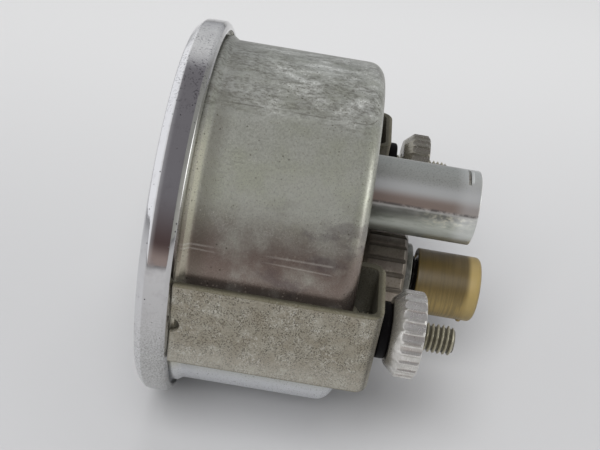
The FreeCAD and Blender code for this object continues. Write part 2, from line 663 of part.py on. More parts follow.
def tube_span():
    """Start angle and sweep of the coiled tube, in degrees about +Y from +X."""
    start = 90.0 + math.degrees(math.asin((BLOCK_ARM_HALF - TUBE_SOCKET) / TUBE_COIL_R))
    return start, 360.0 - TUBE_END_ANGLE - start


def bourdon_tube():
    """Flattened C-shaped tube, open into the port block and closed by the tip."""
    start, sweep = tube_span()
    outer = turned(tube_section(0), angle=sweep)
    inner = turned(tube_section(-TUBE_WALL), angle=sweep)
    tube = outer.cut(inner)
    tube.rotate(V(0, 0, 0), V(0, 1, 0), start)
    return tube


def bourdon_tip():
    """End plug of the tube with the tongue and pin that pull the link."""
    half = TUBE_SECTION / 2.0 + TIP_WALL
    tall = TUBE_HEIGHT / 2.0 - TIP_INSET
    corner = V(TUBE_COIL_R - half, TUBE_MID_Y - tall, -TIP_BLOCK)
    plug = Part.makeBox(2.0 * half, 2.0 * tall, TIP_BLOCK, corner)
    plug.rotate(V(0, 0, 0), V(0, 1, 0), -TUBE_END_ANGLE)
    away = math.radians(TUBE_END_ANGLE) - TIP_BLOCK / 2.0 / TUBE_COIL_R
    root = (TUBE_COIL_R * math.cos(away), TUBE_COIL_R * math.sin(away))
    tongue = bar((TIP_X, TIP_Z), root, TAIL_WIDTH, SECTOR_Y, SECTOR_END_Y)
    pin = rod(LINK_PIN_R, SECTOR_Y, PIN_END_Y, TIP_X, TIP_Z)
    head = rod(SHOULDER_R, LINK_END_Y + AIR, PIN_END_Y, TIP_X, TIP_Z)
    return plug.multiFuse([tongue, pin, head]).removeSplitter()


def link_bar():
    """Link from the tube's tip to the sector's tail, with play at the tail pin."""
    link = bar((TAIL_X, TAIL_Z), (TIP_X, TIP_Z), LINK_WIDTH, LINK_Y, LINK_END_Y)
    return link.cut([hole(LINK_PIN_R + SLIP, LINK_Y, LINK_END_Y, TIP_X, TIP_Z),
                     hole(LINK_PIN_R + OPEN_PIVOT_GAP, LINK_Y, LINK_END_Y, TAIL_X, TAIL_Z)])


def port_block():
    """Brass socket block: arm for the tube's root, boss behind the case and threaded spigot."""
    front = REAR_PLATE_END_Y
    corner = BLOCK_CORNER_R
    body = plate([
        (-BLOCK_HALF_WIDTH, BLOCK_ARM_LOW_Z, corner), (BLOCK_HALF_WIDTH, BLOCK_ARM_LOW_Z, corner),
        (BLOCK_HALF_WIDTH, BLOCK_TOP_Z, corner), (-BLOCK_HALF_WIDTH, BLOCK_TOP_Z, corner),
    ], front, front + BLOCK_THICKNESS)
    arm_front = TUBE_MID_Y - TUBE_HEIGHT / 2.0 - BLOCK_ARM_WALL
    corner = BLOCK_ARM_CORNER_R
    arm = plate([
        (-BLOCK_ARM_HALF, BLOCK_ARM_LOW_Z, corner), (BLOCK_ARM_HALF, BLOCK_ARM_LOW_Z, corner),
        (BLOCK_ARM_HALF, BLOCK_ARM_TOP_Z, corner), (-BLOCK_ARM_HALF, BLOCK_ARM_TOP_Z, corner),
    ], arm_front, front + BLOCK_THICKNESS / 2.0)
    boss = rod(BLOCK_BOSS_R, front + BLOCK_BOSS_STEP, REAR_INSIDE_Y, 0, PORT_Z)
    spigot = turned([
        (0, REAR_INSIDE_Y - OVERSHOOT, 0), (PORT_THREAD_R, REAR_INSIDE_Y - OVERSHOOT, 0),
        (PORT_THREAD_R, PORT_END_Y - PORT_CHAMFER, 0), (PORT_THREAD_R - PORT_CHAMFER, PORT_END_Y, 0),
        (0, PORT_END_Y, 0),
    ], 0, PORT_Z)
    block = body.multiFuse([arm, boss, spigot]).removeSplitter()
    drill_y = front + BLOCK_THICKNESS / 2.0
    bore = rod(PORT_BORE_R, drill_y, PORT_END_Y + OVERSHOOT, 0, PORT_Z)
    down = Part.makeCylinder(DRILL_R, PORT_Z + TUBE_COIL_R, V(0, drill_y, -TUBE_COIL_R), V(0, 0, 1))
    forward = rod(DRILL_R, TUBE_MID_Y, drill_y, 0, -TUBE_COIL_R)
    block = block.cut(bore.multiFuse([down, forward]))
    start, sweep = tube_span()
    seat = turned(tube_section(SLIP), angle=sweep)
    seat.rotate(V(0, 0, 0), V(0, 1, 0), start)
    chamber = turned(tube_section(-TUBE_WALL), angle=start - 90.0)
    chamber.rotate(V(0, 0, 0), V(0, 1, 0), 90.0)
    block = block.cut([seat, chamber])
    end = front + BLOCK_SCREW_GRIP + AIR
    return block.cut([rod(BLOCK_SCREW_R + SLIP, front - OVERSHOOT, end, side * BLOCK_SCREW_X, BLOCK_SCREW_Z)
                      for side in (-1, 1)])


def port_washer():
    """Sealing washer between the case and the collar nut."""
    return ring(PORT_WASHER_R, PORT_THREAD_R + SLIP, CASE_LENGTH, WASHER_END_Y, 0, PORT_Z)


def port_collar_nut():
    """Knurled collar nut that clamps the port block to the case."""
    blank = fluted_bar(COLLAR_R, COLLAR_FLUTES, WASHER_END_Y, COLLAR_END_Y, 0, PORT_Z)
    shape = turned([
        (0, WASHER_END_Y, 0), (COLLAR_FACE_R, WASHER_END_Y, 0),
        (COLLAR_R + SLIP, WASHER_END_Y + COLLAR_CONE, 0), (COLLAR_R + SLIP, COLLAR_END_Y - COLLAR_EDGE, 0),
        (COLLAR_R - COLLAR_EDGE, COLLAR_END_Y, 0), (0, COLLAR_END_Y, 0),
    ], 0, PORT_Z)
    return blank.common(shape).cut(hole(PORT_THREAD_R + SLIP, WASHER_END_Y, COLLAR_END_Y, 0, PORT_Z))


def port_lock_ring():
    """Thin round lock nut against the collar nut's rear face."""
    end = COLLAR_END_Y + LOCK_RING
    return turned([
        (PORT_THREAD_R + SLIP, COLLAR_END_Y, 0), (LOCK_RING_R, COLLAR_END_Y, 0),
        (LOCK_RING_R, end - LOCK_RING_CHAMFER, 0), (LOCK_RING_R - LOCK_RING_CHAMFER, end, 0),
        (PORT_THREAD_R + SLIP, end, 0),
    ], 0, PORT_Z)


def port_cap():
    """Soft plastic cap over the port thread, with its moulding nib."""
    bore = PORT_THREAD_R + CAP_BORE_GAP
    cap = turned([
        (bore, CAP_START_Y, 0), (CAP_R, CAP_START_Y, 0), (CAP_R, CAP_END_Y - CAP_EDGE, 0),
        (CAP_R - CAP_EDGE, CAP_END_Y, 0), (0, CAP_END_Y, 0), (0, CAP_END_Y - CAP_FLOOR, 0),
        (bore, CAP_END_Y - CAP_FLOOR, 0),
    ], 0, PORT_Z)
    angle = math.radians(NIB_ANGLE)
    out = V(math.cos(angle), 0, math.sin(angle))
    root = V(0, CAP_END_Y - NIB_INSET, PORT_Z) + out * (CAP_R - NIB_ROOT)
    return cap.fuse(Part.makeCylinder(NIB_R, NIB_ROOT + NIB_RISE, root, out))


def lamp_tube():
    """Lamp socket tube, flanged inside the case, with a slit catch near its end."""
    inner = LAMP_R - LAMP_WALL
    tube = turned([
        (inner, REAR_INSIDE_Y - LAMP_FLANGE, 0), (LAMP_FLANGE_R, REAR_INSIDE_Y - LAMP_FLANGE, 0),
        (LAMP_FLANGE_R, REAR_INSIDE_Y, 0), (LAMP_R, REAR_INSIDE_Y, 0),
        (LAMP_R, LAMP_END_Y, 0), (inner, LAMP_END_Y, 0),
    ])
    slit_y = LAMP_END_Y - CATCH_LENGTH

    def catch_piece(r0, r1, y0, y1):
        sweep = CATCH_TO - CATCH_FROM
        piece = turned([(r0, y0, 0), (r1, y0, 0), (r1, y1, 0), (r0, y1, 0)], angle=sweep)
        piece.rotate(V(0, 0, 0), V(0, 1, 0), -CATCH_TO)
        return piece

    slit = catch_piece(inner - OVERSHOOT, LAMP_R + OVERSHOOT, slit_y - CATCH_SLIT, slit_y)
    catch = catch_piece(inner + LAMP_WALL / 2.0, LAMP_R + CATCH_RISE, slit_y, LAMP_END_Y - CATCH_INSET)
    tube = tube.cut(slit).fuse(catch)
    tube.translate(V(0, 0, LAMP_Z))
    return tube


def stud(side):
    """M4 stud welded to the case's rear face."""
    return turned([
        (0, CASE_LENGTH, 0), (STUD_FOOT_R, CASE_LENGTH, 0), (STUD_R, CASE_LENGTH + STUD_FOOT, 0),
        (STUD_R, STUD_END_Y - STUD_CHAMFER, 0),
        (STUD_R - STUD_CHAMFER, STUD_END_Y, 0), (0, STUD_END_Y, 0),
    ], side * STUD_X, 0)


def clamp_bracket(side):
    """Sheet clamp: a leg along the case, a foot over the stud and a lip turned back forwards."""
    bend = BRACKET_BEND_R
    lip_end = CASE_LENGTH + LIP_GAP
    profile = rounded_wire([
        (LEG_INNER_X, LEG_START_Y, 0), (LEG_OUTER_X, LEG_START_Y, 0),
        (LEG_OUTER_X, BRACKET_REAR_Y, bend), (FOOT_INNER_X, BRACKET_REAR_Y, bend),
        (FOOT_INNER_X, lip_end, 0), (FOOT_INNER_X + SHEET, lip_end, 0),
        (FOOT_INNER_X + SHEET, BRACKET_REAR_Y - SHEET, bend - SHEET),
        (LEG_INNER_X, BRACKET_REAR_Y - SHEET, bend - SHEET),
    ])
    bracket = Part.Face(profile).extrude(V(0, 0, BRACKET_WIDTH))
    bracket.translate(V(0, 0, -BRACKET_WIDTH / 2.0))
    stud_hole = hole(STUD_R + STUD_HOLE_GAP, BRACKET_REAR_Y - SHEET, BRACKET_REAR_Y, STUD_X, 0)
    notch = Part.makeCylinder(NOTCH_R, 2.0 * SHEET, V(LEG_INNER_X - SHEET / 2.0, LEG_START_Y, 0), V(1, 0, 0))
    bracket = bracket.cut([stud_hole, notch])
    if side < 0:
        bracket.rotate(V(0, 0, 0), V(0, 1, 0), 180)
    return bracket


def rubber_washer(side):
    """Rubber washer between the bracket's foot and the thumb nut."""
    return turned([
        (STUD_R + SLIP, BRACKET_REAR_Y, 0), (RUBBER_R, BRACKET_REAR_Y, 0),
        (RUBBER_R, RUBBER_END_Y, 0), (STUD_R + SLIP, RUBBER_END_Y, 0),
    ], side * STUD_X, 0)


def thumb_nut(side):
    """Thumb nut with a cone towards the washer and a coarsely fluted rim."""
    start = RUBBER_END_Y
    if side < 0:
        start = start + FAR_NUT_BACK
    end = start + NUT_CONE + NUT_RIM
    x = side * STUD_X
    blank = fluted_bar(NUT_R, NUT_FLUTES, start, end, x, 0)
    shape = turned([
        (0, start, 0), (NUT_FACE_R, start, 0), (NUT_R + SLIP, start + NUT_CONE, 0),
        (NUT_R + SLIP, end - NUT_EDGE, 0), (NUT_R - NUT_EDGE, end, 0), (0, end, 0),
    ], x, 0)
    return blank.common(shape).cut(hole(STUD_R + SLIP, start, end, x, 0))


def build():
    """Every node of the gauge by name."""
    nodes = {
        "bezel_ring": bezel_ring(),
        "lens_glass": lens_glass(),
        "lens_gasket": lens_gasket(),
        "case_shell": case_shell(),
        "dial_spacer": dial_spacer(),
        "dial_plate": dial_plate(),
        "dial_screws": dial_screws(),
        "pointer": pointer(),
        "pinion_arbor": pinion_arbor(),
        "sector_gear": sector_gear(),
        "hairspring": hairspring(),
        "movement_front_plate": movement_front_plate(),
        "movement_rear_plate": movement_rear_plate(),
        "movement_pillars": movement_pillars(),
        "plate_screws": plate_screws(),
        "block_screws": block_screws(),
        "bourdon_tube": bourdon_tube(),
        "bourdon_tip": bourdon_tip(),
        "link_bar": link_bar(),
        "port_block": port_block(),
        "port_washer": port_washer(),
        "port_collar_nut": port_collar_nut(),
        "port_lock_ring": port_lock_ring(),
        "port_cap": port_cap(),
        "lamp_tube": lamp_tube(),
    }
    for word, side in (("near", 1), ("far", -1)):
        nodes[word + "_stud"] = stud(side)
        nodes[word + "_clamp_bracket"] = clamp_bracket(side)
        nodes[word + "_rubber_washer"] = rubber_washer(side)
        nodes[word + "_thumb_nut"] = thumb_nut(side)
    return nodes


def main():
    os.makedirs("parts", exist_ok=True)
    for name, shape in build().items():
        solids = shape.Solids
        volume = round(sum(solid.Volume for solid in solids), 2)
        state = "valid" if shape.isValid() else "INVALID"
        print(name, len(solids), "solid(s)", volume, "mm3", state)
        if len(solids) == 1:
            shape = solids[0]
        shape.exportStep("parts/" + name + ".step")


main()
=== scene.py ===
"""Dresses the oil pressure gauge: finished surfaces around the fixed frame, and a pale studio."""
import math

import bmesh
import bpy
import numpy as np
from mathutils import Matrix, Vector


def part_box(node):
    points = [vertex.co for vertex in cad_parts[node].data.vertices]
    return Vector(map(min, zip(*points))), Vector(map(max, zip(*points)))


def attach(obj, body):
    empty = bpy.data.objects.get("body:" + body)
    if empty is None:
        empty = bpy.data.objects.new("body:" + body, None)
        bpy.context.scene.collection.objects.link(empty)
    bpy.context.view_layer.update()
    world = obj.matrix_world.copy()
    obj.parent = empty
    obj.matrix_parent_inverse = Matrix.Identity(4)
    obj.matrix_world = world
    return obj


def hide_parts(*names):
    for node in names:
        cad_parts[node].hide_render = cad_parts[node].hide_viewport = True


bl_info = {
    "name": "Oil Pressure Gauge",
    "version": (1, 0, 0),
    "blender": (4, 5, 0),
    "location": "View3D > Sidebar > Gauge",
    "description": "Builds the finished pieces of a 52 mm oil pressure gauge",
    "category": "Add Mesh",
}

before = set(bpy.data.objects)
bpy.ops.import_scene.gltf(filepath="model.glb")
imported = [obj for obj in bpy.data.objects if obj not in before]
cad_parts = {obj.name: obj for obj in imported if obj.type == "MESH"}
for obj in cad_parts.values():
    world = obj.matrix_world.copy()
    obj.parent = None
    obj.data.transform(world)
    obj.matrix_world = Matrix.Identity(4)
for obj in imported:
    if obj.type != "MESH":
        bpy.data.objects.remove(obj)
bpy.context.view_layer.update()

MM = 0.001
TURN = 2.0 * math.pi
SIDES = (("near", 1), ("far", -1))
X, Y, Z = 0, 1, 2


def low(node, axis):
    """Lowest place of a node along one axis of the frame, in millimetres."""
    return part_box(node)[0][axis] / MM


def high(node, axis):
    """Highest place of a node along one axis of the frame, in millimetres."""
    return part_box(node)[1][axis] / MM


def span(node, axis):
    """Lowest and highest place of a node along one axis, in millimetres."""
    return low(node, axis), high(node, axis)


def middle(node, axis):
    """Middle of a node's box along one axis, in millimetres."""
    return sum(span(node, axis)) / 2.0


# Camera of the photograph, in the frame's millimetres
CAMERA_PLACE = (120.772, 14.877, 86.553)
CAMERA_ELEVATION = math.radians(35.734)
CAMERA_ROLL = math.radians(9.534)
CAMERA_LENS = 57.63
CAMERA_SENSOR = 36.0

# The gauge lies on its bezel's rim and on the case's rear edge, so the floor slopes along Y
FLOOR_TOUCH_Y = -3.1
FLOOR_RISE = 0.1008
FLOOR_HALF = 1500.0

# Heights of the lamp tube's and the port's axes, how far the studs stand from the middle, the case's
# radius, and how far a bore is wider than what goes through it, in millimetres
LAMP_Z = 8.0
PORT_Z = -7.2
STUD_X = 21.4
CASE_RADIUS = 26.0
PLAY = 0.05


class GaugeSizes(bpy.types.PropertyGroup):
    """Sizes that the frame leaves open, in millimetres."""

    case_corner: bpy.props.FloatProperty(
        name="Case corner", description="Radius of the case's rear edge", default=2.5, min=0.5, max=4.0)
    bezel_bevel: bpy.props.FloatProperty(
        name="Bezel bevel", description="Width of the bezel's sloping front", default=1.15, min=0.5, max=3.0)
    stud_pitch: bpy.props.FloatProperty(
        name="Stud pitch", description="Thread pitch of the studs", default=0.7, min=0.3, max=1.5)
    port_pitch: bpy.props.FloatProperty(
        name="Port pitch", description="Thread pitch of the pressure port", default=1.0, min=0.5, max=2.0)
    nut_flutes: bpy.props.IntProperty(
        name="Nut flutes", description="Hollows round each thumb nut", default=24, min=8, max=60)
    collar_flutes: bpy.props.IntProperty(
        name="Collar flutes", description="Hollows round the collar nut", default=20, min=8, max=60)
    flute_depth: bpy.props.FloatProperty(
        name="Flute depth", description="Depth of a nut's hollows", default=0.4, min=0.1, max=1.0)


class GaugeColours(bpy.types.PropertyGroup):
    """Main colours, as sRGB hex text."""

    case: bpy.props.StringProperty(name="Case", description="Dull zinc of the case", default="#b9bab0")
    bracket: bpy.props.StringProperty(
        name="Brackets", description="Speckled zinc of the clamps", default="#938e80")
    nut: bpy.props.StringProperty(name="Thumb nuts", description="Turned aluminium", default="#dddbd6")
    cap: bpy.props.StringProperty(name="Cap", description="Aged translucent plastic", default="#b19b64")
    floor: bpy.props.StringProperty(name="Floor", description="Pale paper floor", default="#b8b8b9")


def hex_colour(text):
    """Linear RGBA of an sRGB colour: each channel is c / 12.92 up to 0.04045, and above it
    ((c + 0.055) / 1.055) ^ 2.4."""
    channels = [int(text[i:i + 2], 16) / 255.0 for i in (1, 3, 5)]
    return tuple(c / 12.92 if c <= 0.04045 else ((c + 0.055) / 1.055) ** 2.4 for c in channels) + (1.0,)


# Shapes, in millimetres

def rounded(corners, steps=6):
    """Closed outline through (u, v, radius) corners, each corner an arc tangent to both its sides."""
    points = np.array([corner[:2] for corner in corners], float)
    out = []
    for i, corner in enumerate(corners):
        here, size = points[i], corner[2]
        if size <= 0:
            out.append(here[None])
            continue
        back, ahead = points[i - 1] - here, points[(i + 1) % len(points)] - here
        back, ahead = back / np.linalg.norm(back), ahead / np.linalg.norm(ahead)
        half = math.acos(float(np.clip(back @ ahead, -1, 1))) / 2.0
        centre = here + (back + ahead) / np.linalg.norm(back + ahead) * size / math.sin(half)
        first = here + back * size / math.tan(half) - centre
        last = here + ahead * size / math.tan(half) - centre
        sweep = math.atan2(first[0] * last[1] - first[1] * last[0], first @ last)
        angles = np.linspace(0.0, sweep, steps + 1)[:, None]
        across = np.array([-first[1], first[0]])
        out.append(centre + first * np.cos(angles) + across * np.sin(angles))
    return np.vstack(out)


def refine(outline, step, closed=True):
    """Outline with every side longer than step cut into equal parts no longer than it."""
    ends = np.roll(outline, -1, axis=0) if closed else outline[1:]
    out = []
    for here, ahead in zip(outline, ends):
        count = max(1, math.ceil(float(np.linalg.norm(ahead - here)) / step))
        out.append(here + (ahead - here) * np.linspace(0.0, 1.0, count, endpoint=False)[:, None])
    if not closed:
        out.append(outline[-1:])
    return np.vstack(out)


def around(columns):
    """One row of angles that goes once round."""
    return np.linspace(0.0, TURN, columns, endpoint=False)[None, :]


def turned_points(radius, along, angles, x=0.0, z=0.0):
    """Grid of points x + r cos a, y, z + r sin a, for arrays of radius and y that fit (rows, angles)."""
    radius, along, angles = np.broadcast_arrays(radius, along, angles)
    return np.stack([x + radius * np.cos(angles), along, z + radius * np.sin(angles)], axis=-1)


def grid_faces(rows, columns, wrap_rows=True):
    """Quads of a grid whose columns close on themselves, and whose rows do too unless told otherwise."""
    last = rows if wrap_rows else rows - 1
    r, c = np.meshgrid(np.arange(last), np.arange(columns), indexing="ij")
    below, right = (r + 1) % rows, (c + 1) % columns
    quads = [r * columns + c, r * columns + right, below * columns + right, below * columns + c]
    return np.stack(quads, axis=-1).reshape(-1, 4)


def lathe(outline, columns=192, x=0.0, z=0.0):
    """Closed surface of a closed (radius, y) outline turned about a line along Y."""
    points = turned_points(outline[:, 0:1], outline[:, 1:2], around(columns), x, z)
    return points, grid_faces(len(outline), columns)


def turned(corners, steps, step, columns, x=0.0, z=0.0):
    """Closed surface of (radius, y, rounding) corners turned about a line along Y."""
    return lathe(refine(rounded(corners, steps), step), columns, x, z)


def rod_shape(radius, y0, y1, x=0.0, z=0.0):
    """Plain round bar along Y."""
    return lathe(np.array([[0.0, y0], [radius, y0], [radius, y1], [0.0, y1]]), 96, x, z)


def thread_shape(crest, depth, pitch, y0, y1, chamfer, x=0.0, z=0.0, bore=0.0, bore_depth=0.0):
    """Right-hand outside thread along +Y, with a blind bore if given. The radius is
    crest - depth * (1 - g), where g is a trapezoid wave of (y - y0) / pitch - angle / turn, under a 45
    degree chamfer at the far end."""
    rows_per_pitch, root, flank = 12, 0.16, 0.7
    angles = around(72)
    along = np.linspace(y0, y1, int(math.ceil((y1 - y0) / pitch * rows_per_pitch)) + 1)[:, None]
    phase = (along - y0) / pitch - angles / TURN
    wave = np.abs(2.0 * (phase - np.floor(phase)) - 1.0)
    ridge = np.clip((wave - root) / flank, 0.0, 1.0)
    radius = np.minimum(crest - depth * (1.0 - ridge), crest - chamfer + (y1 - along))
    tail = np.array([[bore, y1], [bore, y1 - bore_depth], [0.0, y1 - bore_depth], [0.0, y0]])
    full = np.ones_like(angles)
    radius = np.vstack([radius, tail[:, :1] * full])
    along = np.vstack([along * full, tail[:, 1:] * full])
    return turned_points(radius, along, angles, x, z), grid_faces(len(radius), angles.size)


def flute_radius(angles, radius, count, depth, share):
    """Radius round a fluted bar: each hollow is depth * (1 - t ^ 4) deep over its share of a pitch."""
    turn = angles * count / TURN
    t = (turn - np.floor(turn)) / (share / 2.0) - 1.0
    return radius - depth * np.clip(1.0 - t ** 4, 0.0, None)


def fluted_nut(bore, face, radius, y0, cone, y1, edge, flutes, depth, share=0.62, x=0.0, z=0.0):
    """Nut along Y whose every angle has its own outline: bore, face, cone to where it meets the flute, rim,
    chamfer from where the flute meets it, rear face and bore again."""
    angles = around(flutes * 20)
    rim = flute_radius(angles, radius, flutes, depth, share)
    full = np.ones_like(rim)
    front = y0 + cone * (rim - face) / (radius - face)
    rear = y1 - np.clip(edge - (radius - rim), 0.0, None)
    soft, bevel = 0.07, 0.3
    outline = [
        (bore * full, (y0 + bevel) * full), ((bore + bevel) * full, y0 * full),
        ((face - soft) * full, y0 * full), ((face + soft * 0.6) * full, (y0 + soft) * full),
        (rim - soft, front - soft), (rim, front + soft),
        (rim, (front + rear) / 2.0), (rim, rear),
        (np.minimum(rim, radius - edge) - soft * 0.2, y1 * full),
        ((bore + bevel) * full, y1 * full), (bore * full, (y1 - bevel) * full),
    ]
    radii, places = np.vstack([r for r, _ in outline]), np.vstack([y for _, y in outline])
    return turned_points(radii, places, angles, x, z), grid_faces(len(outline), angles.size)


def strip_shape(path, width, thickness, edge, side):
    """Sheet strip: a flat section with rounded edges carried along an (x, y) line, wide in z, with closed
    ends."""
    section = refine(rounded([
        (-thickness / 2.0, -width / 2.0, edge), (thickness / 2.0, -width / 2.0, edge),
        (thickness / 2.0, width / 2.0, edge), (-thickness / 2.0, width / 2.0, edge)], 3), 0.8)
    ahead = np.gradient(path, axis=0)
    ahead /= np.linalg.norm(ahead, axis=1, keepdims=True)
    out = np.stack([ahead[:, 1], -ahead[:, 0]], axis=1)
    scale = np.ones((len(path), 2))
    scale[[0, -1]] = 1.0 - 2.0 * edge / np.array([thickness, width])
    order = np.concatenate([[0], np.arange(len(path)), [len(path) - 1]])
    scale = scale[order]
    scale[[0, -1]] = 0.0
    across = section[None, :, 0] * scale[:, 0:1]
    points = np.stack([side * (path[order, 0:1] + out[order, 0:1] * across),
                       path[order, 1:2] + out[order, 1:2] * across,
                       section[None, :, 1] * scale[:, 1:2]], axis=-1)
    return points, grid_faces(len(order), len(section), wrap_rows=False)


def solid_mesh(parts):
    """Mesh of (points, faces) parts: doubles merged and faces turned outwards."""
    mesh = bpy.data.meshes.new("shape")
    vertices, faces, start = [], [], 0
    for points, quads in parts:
        flat = np.asarray(points, float).reshape(-1, 3) * MM
        vertices.append(flat)
        faces.extend((np.asarray(quads) + start).tolist())
        start += len(flat)
    mesh.from_pydata(np.vstack(vertices).tolist(), [], faces)
    work = bmesh.new()
    work.from_mesh(mesh)
    bmesh.ops.remove_doubles(work, verts=work.verts, dist=2e-7)
    bmesh.ops.recalc_face_normals(work, faces=work.faces)
    work.to_mesh(mesh)
    work.free()
    return mesh


def new_piece(name, parts, material, nodes=(), body="gauge", holes=(), sharp=32.0):
    """Object of the parts less its holes, smooth but for edges past an angle, riding on its body in
    place of its frame nodes."""
    piece = bpy.data.objects.new(name, solid_mesh(parts))
    bpy.context.scene.collection.objects.link(piece)
    tools = []
    for hole in holes:
        tool = bpy.data.objects.new("hole", solid_mesh([hole]))
        bpy.context.scene.collection.objects.link(tool)
        tools.append(tool)
        cut = piece.modifiers.new("cut", "BOOLEAN")
        cut.object = tool
        cut.operation = "DIFFERENCE"
        cut.solver = "EXACT"
    if tools:
        bpy.context.view_layer.update()
        shaped = bpy.data.meshes.new_from_object(piece.evaluated_get(bpy.context.evaluated_depsgraph_get()))
        piece.modifiers.clear()
        piece.data = shaped
    for tool in tools:
        bpy.data.objects.remove(tool)
    piece.data.name = name
    piece.data.shade_smooth()
    piece.data.set_sharp_from_angle(angle=math.radians(sharp))
    piece.data.materials.clear()
    piece.data.materials.append(material)
    if nodes:
        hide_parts(*nodes)
    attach(piece, body)
    return piece


def dress(node, material):
    """Give a frame node its finish."""
    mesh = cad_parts[node].data
    mesh.materials.clear()
    mesh.materials.append(material)


# Finishes

class Nodes:
    """Node tree with short ways to make factors of 0 to 1, numbers and colours."""

    def __init__(self, tree):
        self.tree = tree
        tree.nodes.clear()

    def add(self, kind, inputs=(), **settings):
        """One node with its settings; each input gets a value, or a link from an output socket."""
        node = self.tree.nodes.new(kind)
        for name, value in settings.items():
            setattr(node, name, value)
        for name, value in dict(inputs).items():
            self.give(node.inputs[name], value)
        return node

    def give(self, socket, value):
        """Link an output socket to an input, or set the input's value."""
        if isinstance(value, bpy.types.NodeSocket):
            self.tree.links.new(value, socket)
        else:
            socket.default_value = value

    def calculate(self, operation, *values):
        """Result of one step of arithmetic."""
        return self.add("ShaderNodeMath", dict(enumerate(values)), operation=operation).outputs[0]

    def larger(self, first, second):
        """The larger of two factors."""
        return self.calculate("MAXIMUM", first, second)

    def product(self, *values):
        """Product of factors."""
        result = values[0]
        for value in values[1:]:
            result = self.calculate("MULTIPLY", result, value)
        return result

    def ramp(self, value, start, end):
        """0 where the value is at start, 1 where it is at end, eased between."""
        inputs = {"Value": value, "From Min": start, "From Max": end}
        return self.add("ShaderNodeMapRange", inputs, interpolation_type="SMOOTHSTEP").outputs[0]

    def dot(self, vector, way):
        """How far a vector reaches along a way."""
        node = self.add("ShaderNodeVectorMath", {0: vector, 1: way}, operation="DOT_PRODUCT")
        return node.outputs["Value"]

    def stepped(self, base, *steps):
        """Number that starts at base and is mixed by (factor, value) steps in order."""
        result = base
        for factor, value in steps:
            inputs = {0: factor, 2: result, 3: value}
            result = self.add("ShaderNodeMix", inputs, data_type="FLOAT").outputs[0]
        return result

    def layered(self, base, *layers):
        """Colour from a base with layers over it in order. Each layer is a hex colour followed by its
        factors, which are multiplied."""
        result = hex_colour(base)
        for colour, *factors in layers:
            inputs = {0: self.product(*factors), 6: result, 7: hex_colour(colour)}
            result = self.add("ShaderNodeMix", inputs, data_type="RGBA").outputs[2]
        return result


class Look(Nodes):
    """Material with a Principled shader. Its factors are placed in the object's own coordinates, and
    their sizes and places are in millimetres."""

    def __init__(self, name):
        self.material = bpy.data.materials.new(name)
        self.material.use_nodes = True
        super().__init__(self.material.node_tree)
        self.shader = self.add("ShaderNodeBsdfPrincipled")
        self.add("ShaderNodeOutputMaterial", {"Surface": self.shader.outputs[0]})
        self.coords = self.add("ShaderNodeTexCoord").outputs["Object"]

    def done(self, bump=None, **values):
        """The material, with shader sockets set or linked, underscores in their names for spaces, and
        with a bump from a (height, depth) pair, the height being a factor."""
        for name, value in values.items():
            self.give(self.shader.inputs[name.replace("_", " ").title().replace("Ior", "IOR")], value)
        if bump:
            inputs = {"Height": bump[0], "Distance": bump[1] * MM, "Strength": 1.0}
            self.give(self.shader.inputs["Normal"], self.add("ShaderNodeBump", inputs).outputs[0])
        return self.material

    def along(self, axis, start, end, both=False):
        """0 at one place along an axis and 1 at another, or the same on both sides of the middle."""
        place = self.add("ShaderNodeSeparateXYZ", {"Vector": self.coords}).outputs[axis]
        if both:
            place = self.calculate("ABSOLUTE", place)
        return self.ramp(place, start * MM, end * MM)

    def scratch(self, way, place, width):
        """Line where the plane way . p = place cuts the surface, 1 in its middle."""
        off = self.calculate("SUBTRACT", self.dot(self.coords, way), place * MM)
        return self.ramp(self.calculate("ABSOLUTE", off), width / 2.0 * MM, 0.0)

    def off_axis(self, x, z, start, end):
        """0 at one distance from the lines along Y at z and plus or minus x, and 1 at another."""
        parts = self.add("ShaderNodeSeparateXYZ", {"Vector": self.coords})
        beside = self.calculate("SUBTRACT", self.calculate("ABSOLUTE", parts.outputs["X"]), x * MM)
        over = self.calculate("SUBTRACT", parts.outputs["Z"], z * MM)
        flat = self.add("ShaderNodeCombineXYZ", {"X": beside, "Y": over}).outputs[0]
        gap = self.add("ShaderNodeVectorMath", {0: flat}, operation="LENGTH").outputs["Value"]
        return self.ramp(gap, start * MM, end * MM)

    def mottle(self, size, start, end, detail=4.0, y_scale=1.0, ring_scale=1.0, shift=0.0):
        """Soft patches of a size: 0 where the noise is under start, 1 where it is over end. A y_scale
        under 1 draws them out along Y, and a ring_scale under 1 round it."""
        inputs = {"Vector": self.coords, "Scale": (ring_scale, y_scale, ring_scale),
                  "Location": (shift, shift, 0.0)}
        place = self.add("ShaderNodeMapping", inputs)
        inputs = {"Vector": place.outputs[0], "Scale": 1.0 / (size * MM), "Detail": detail, "Roughness": 0.6}
        return self.ramp(self.add("ShaderNodeTexNoise", inputs).outputs["Fac"], start, end)

    def pits(self, spacing, radius, shift=0.0):
        """Small round marks, 1 in the middle and 0 outside the radius."""
        place = self.add("ShaderNodeMapping", {"Vector": self.coords, "Location": (shift, shift, shift)})
        inputs = {"Vector": place.outputs[0], "Scale": 1.0 / (spacing * MM)}
        cells = self.add("ShaderNodeTexVoronoi", inputs).outputs["Distance"]
        return self.ramp(cells, radius / spacing, 0.4 * radius / spacing)


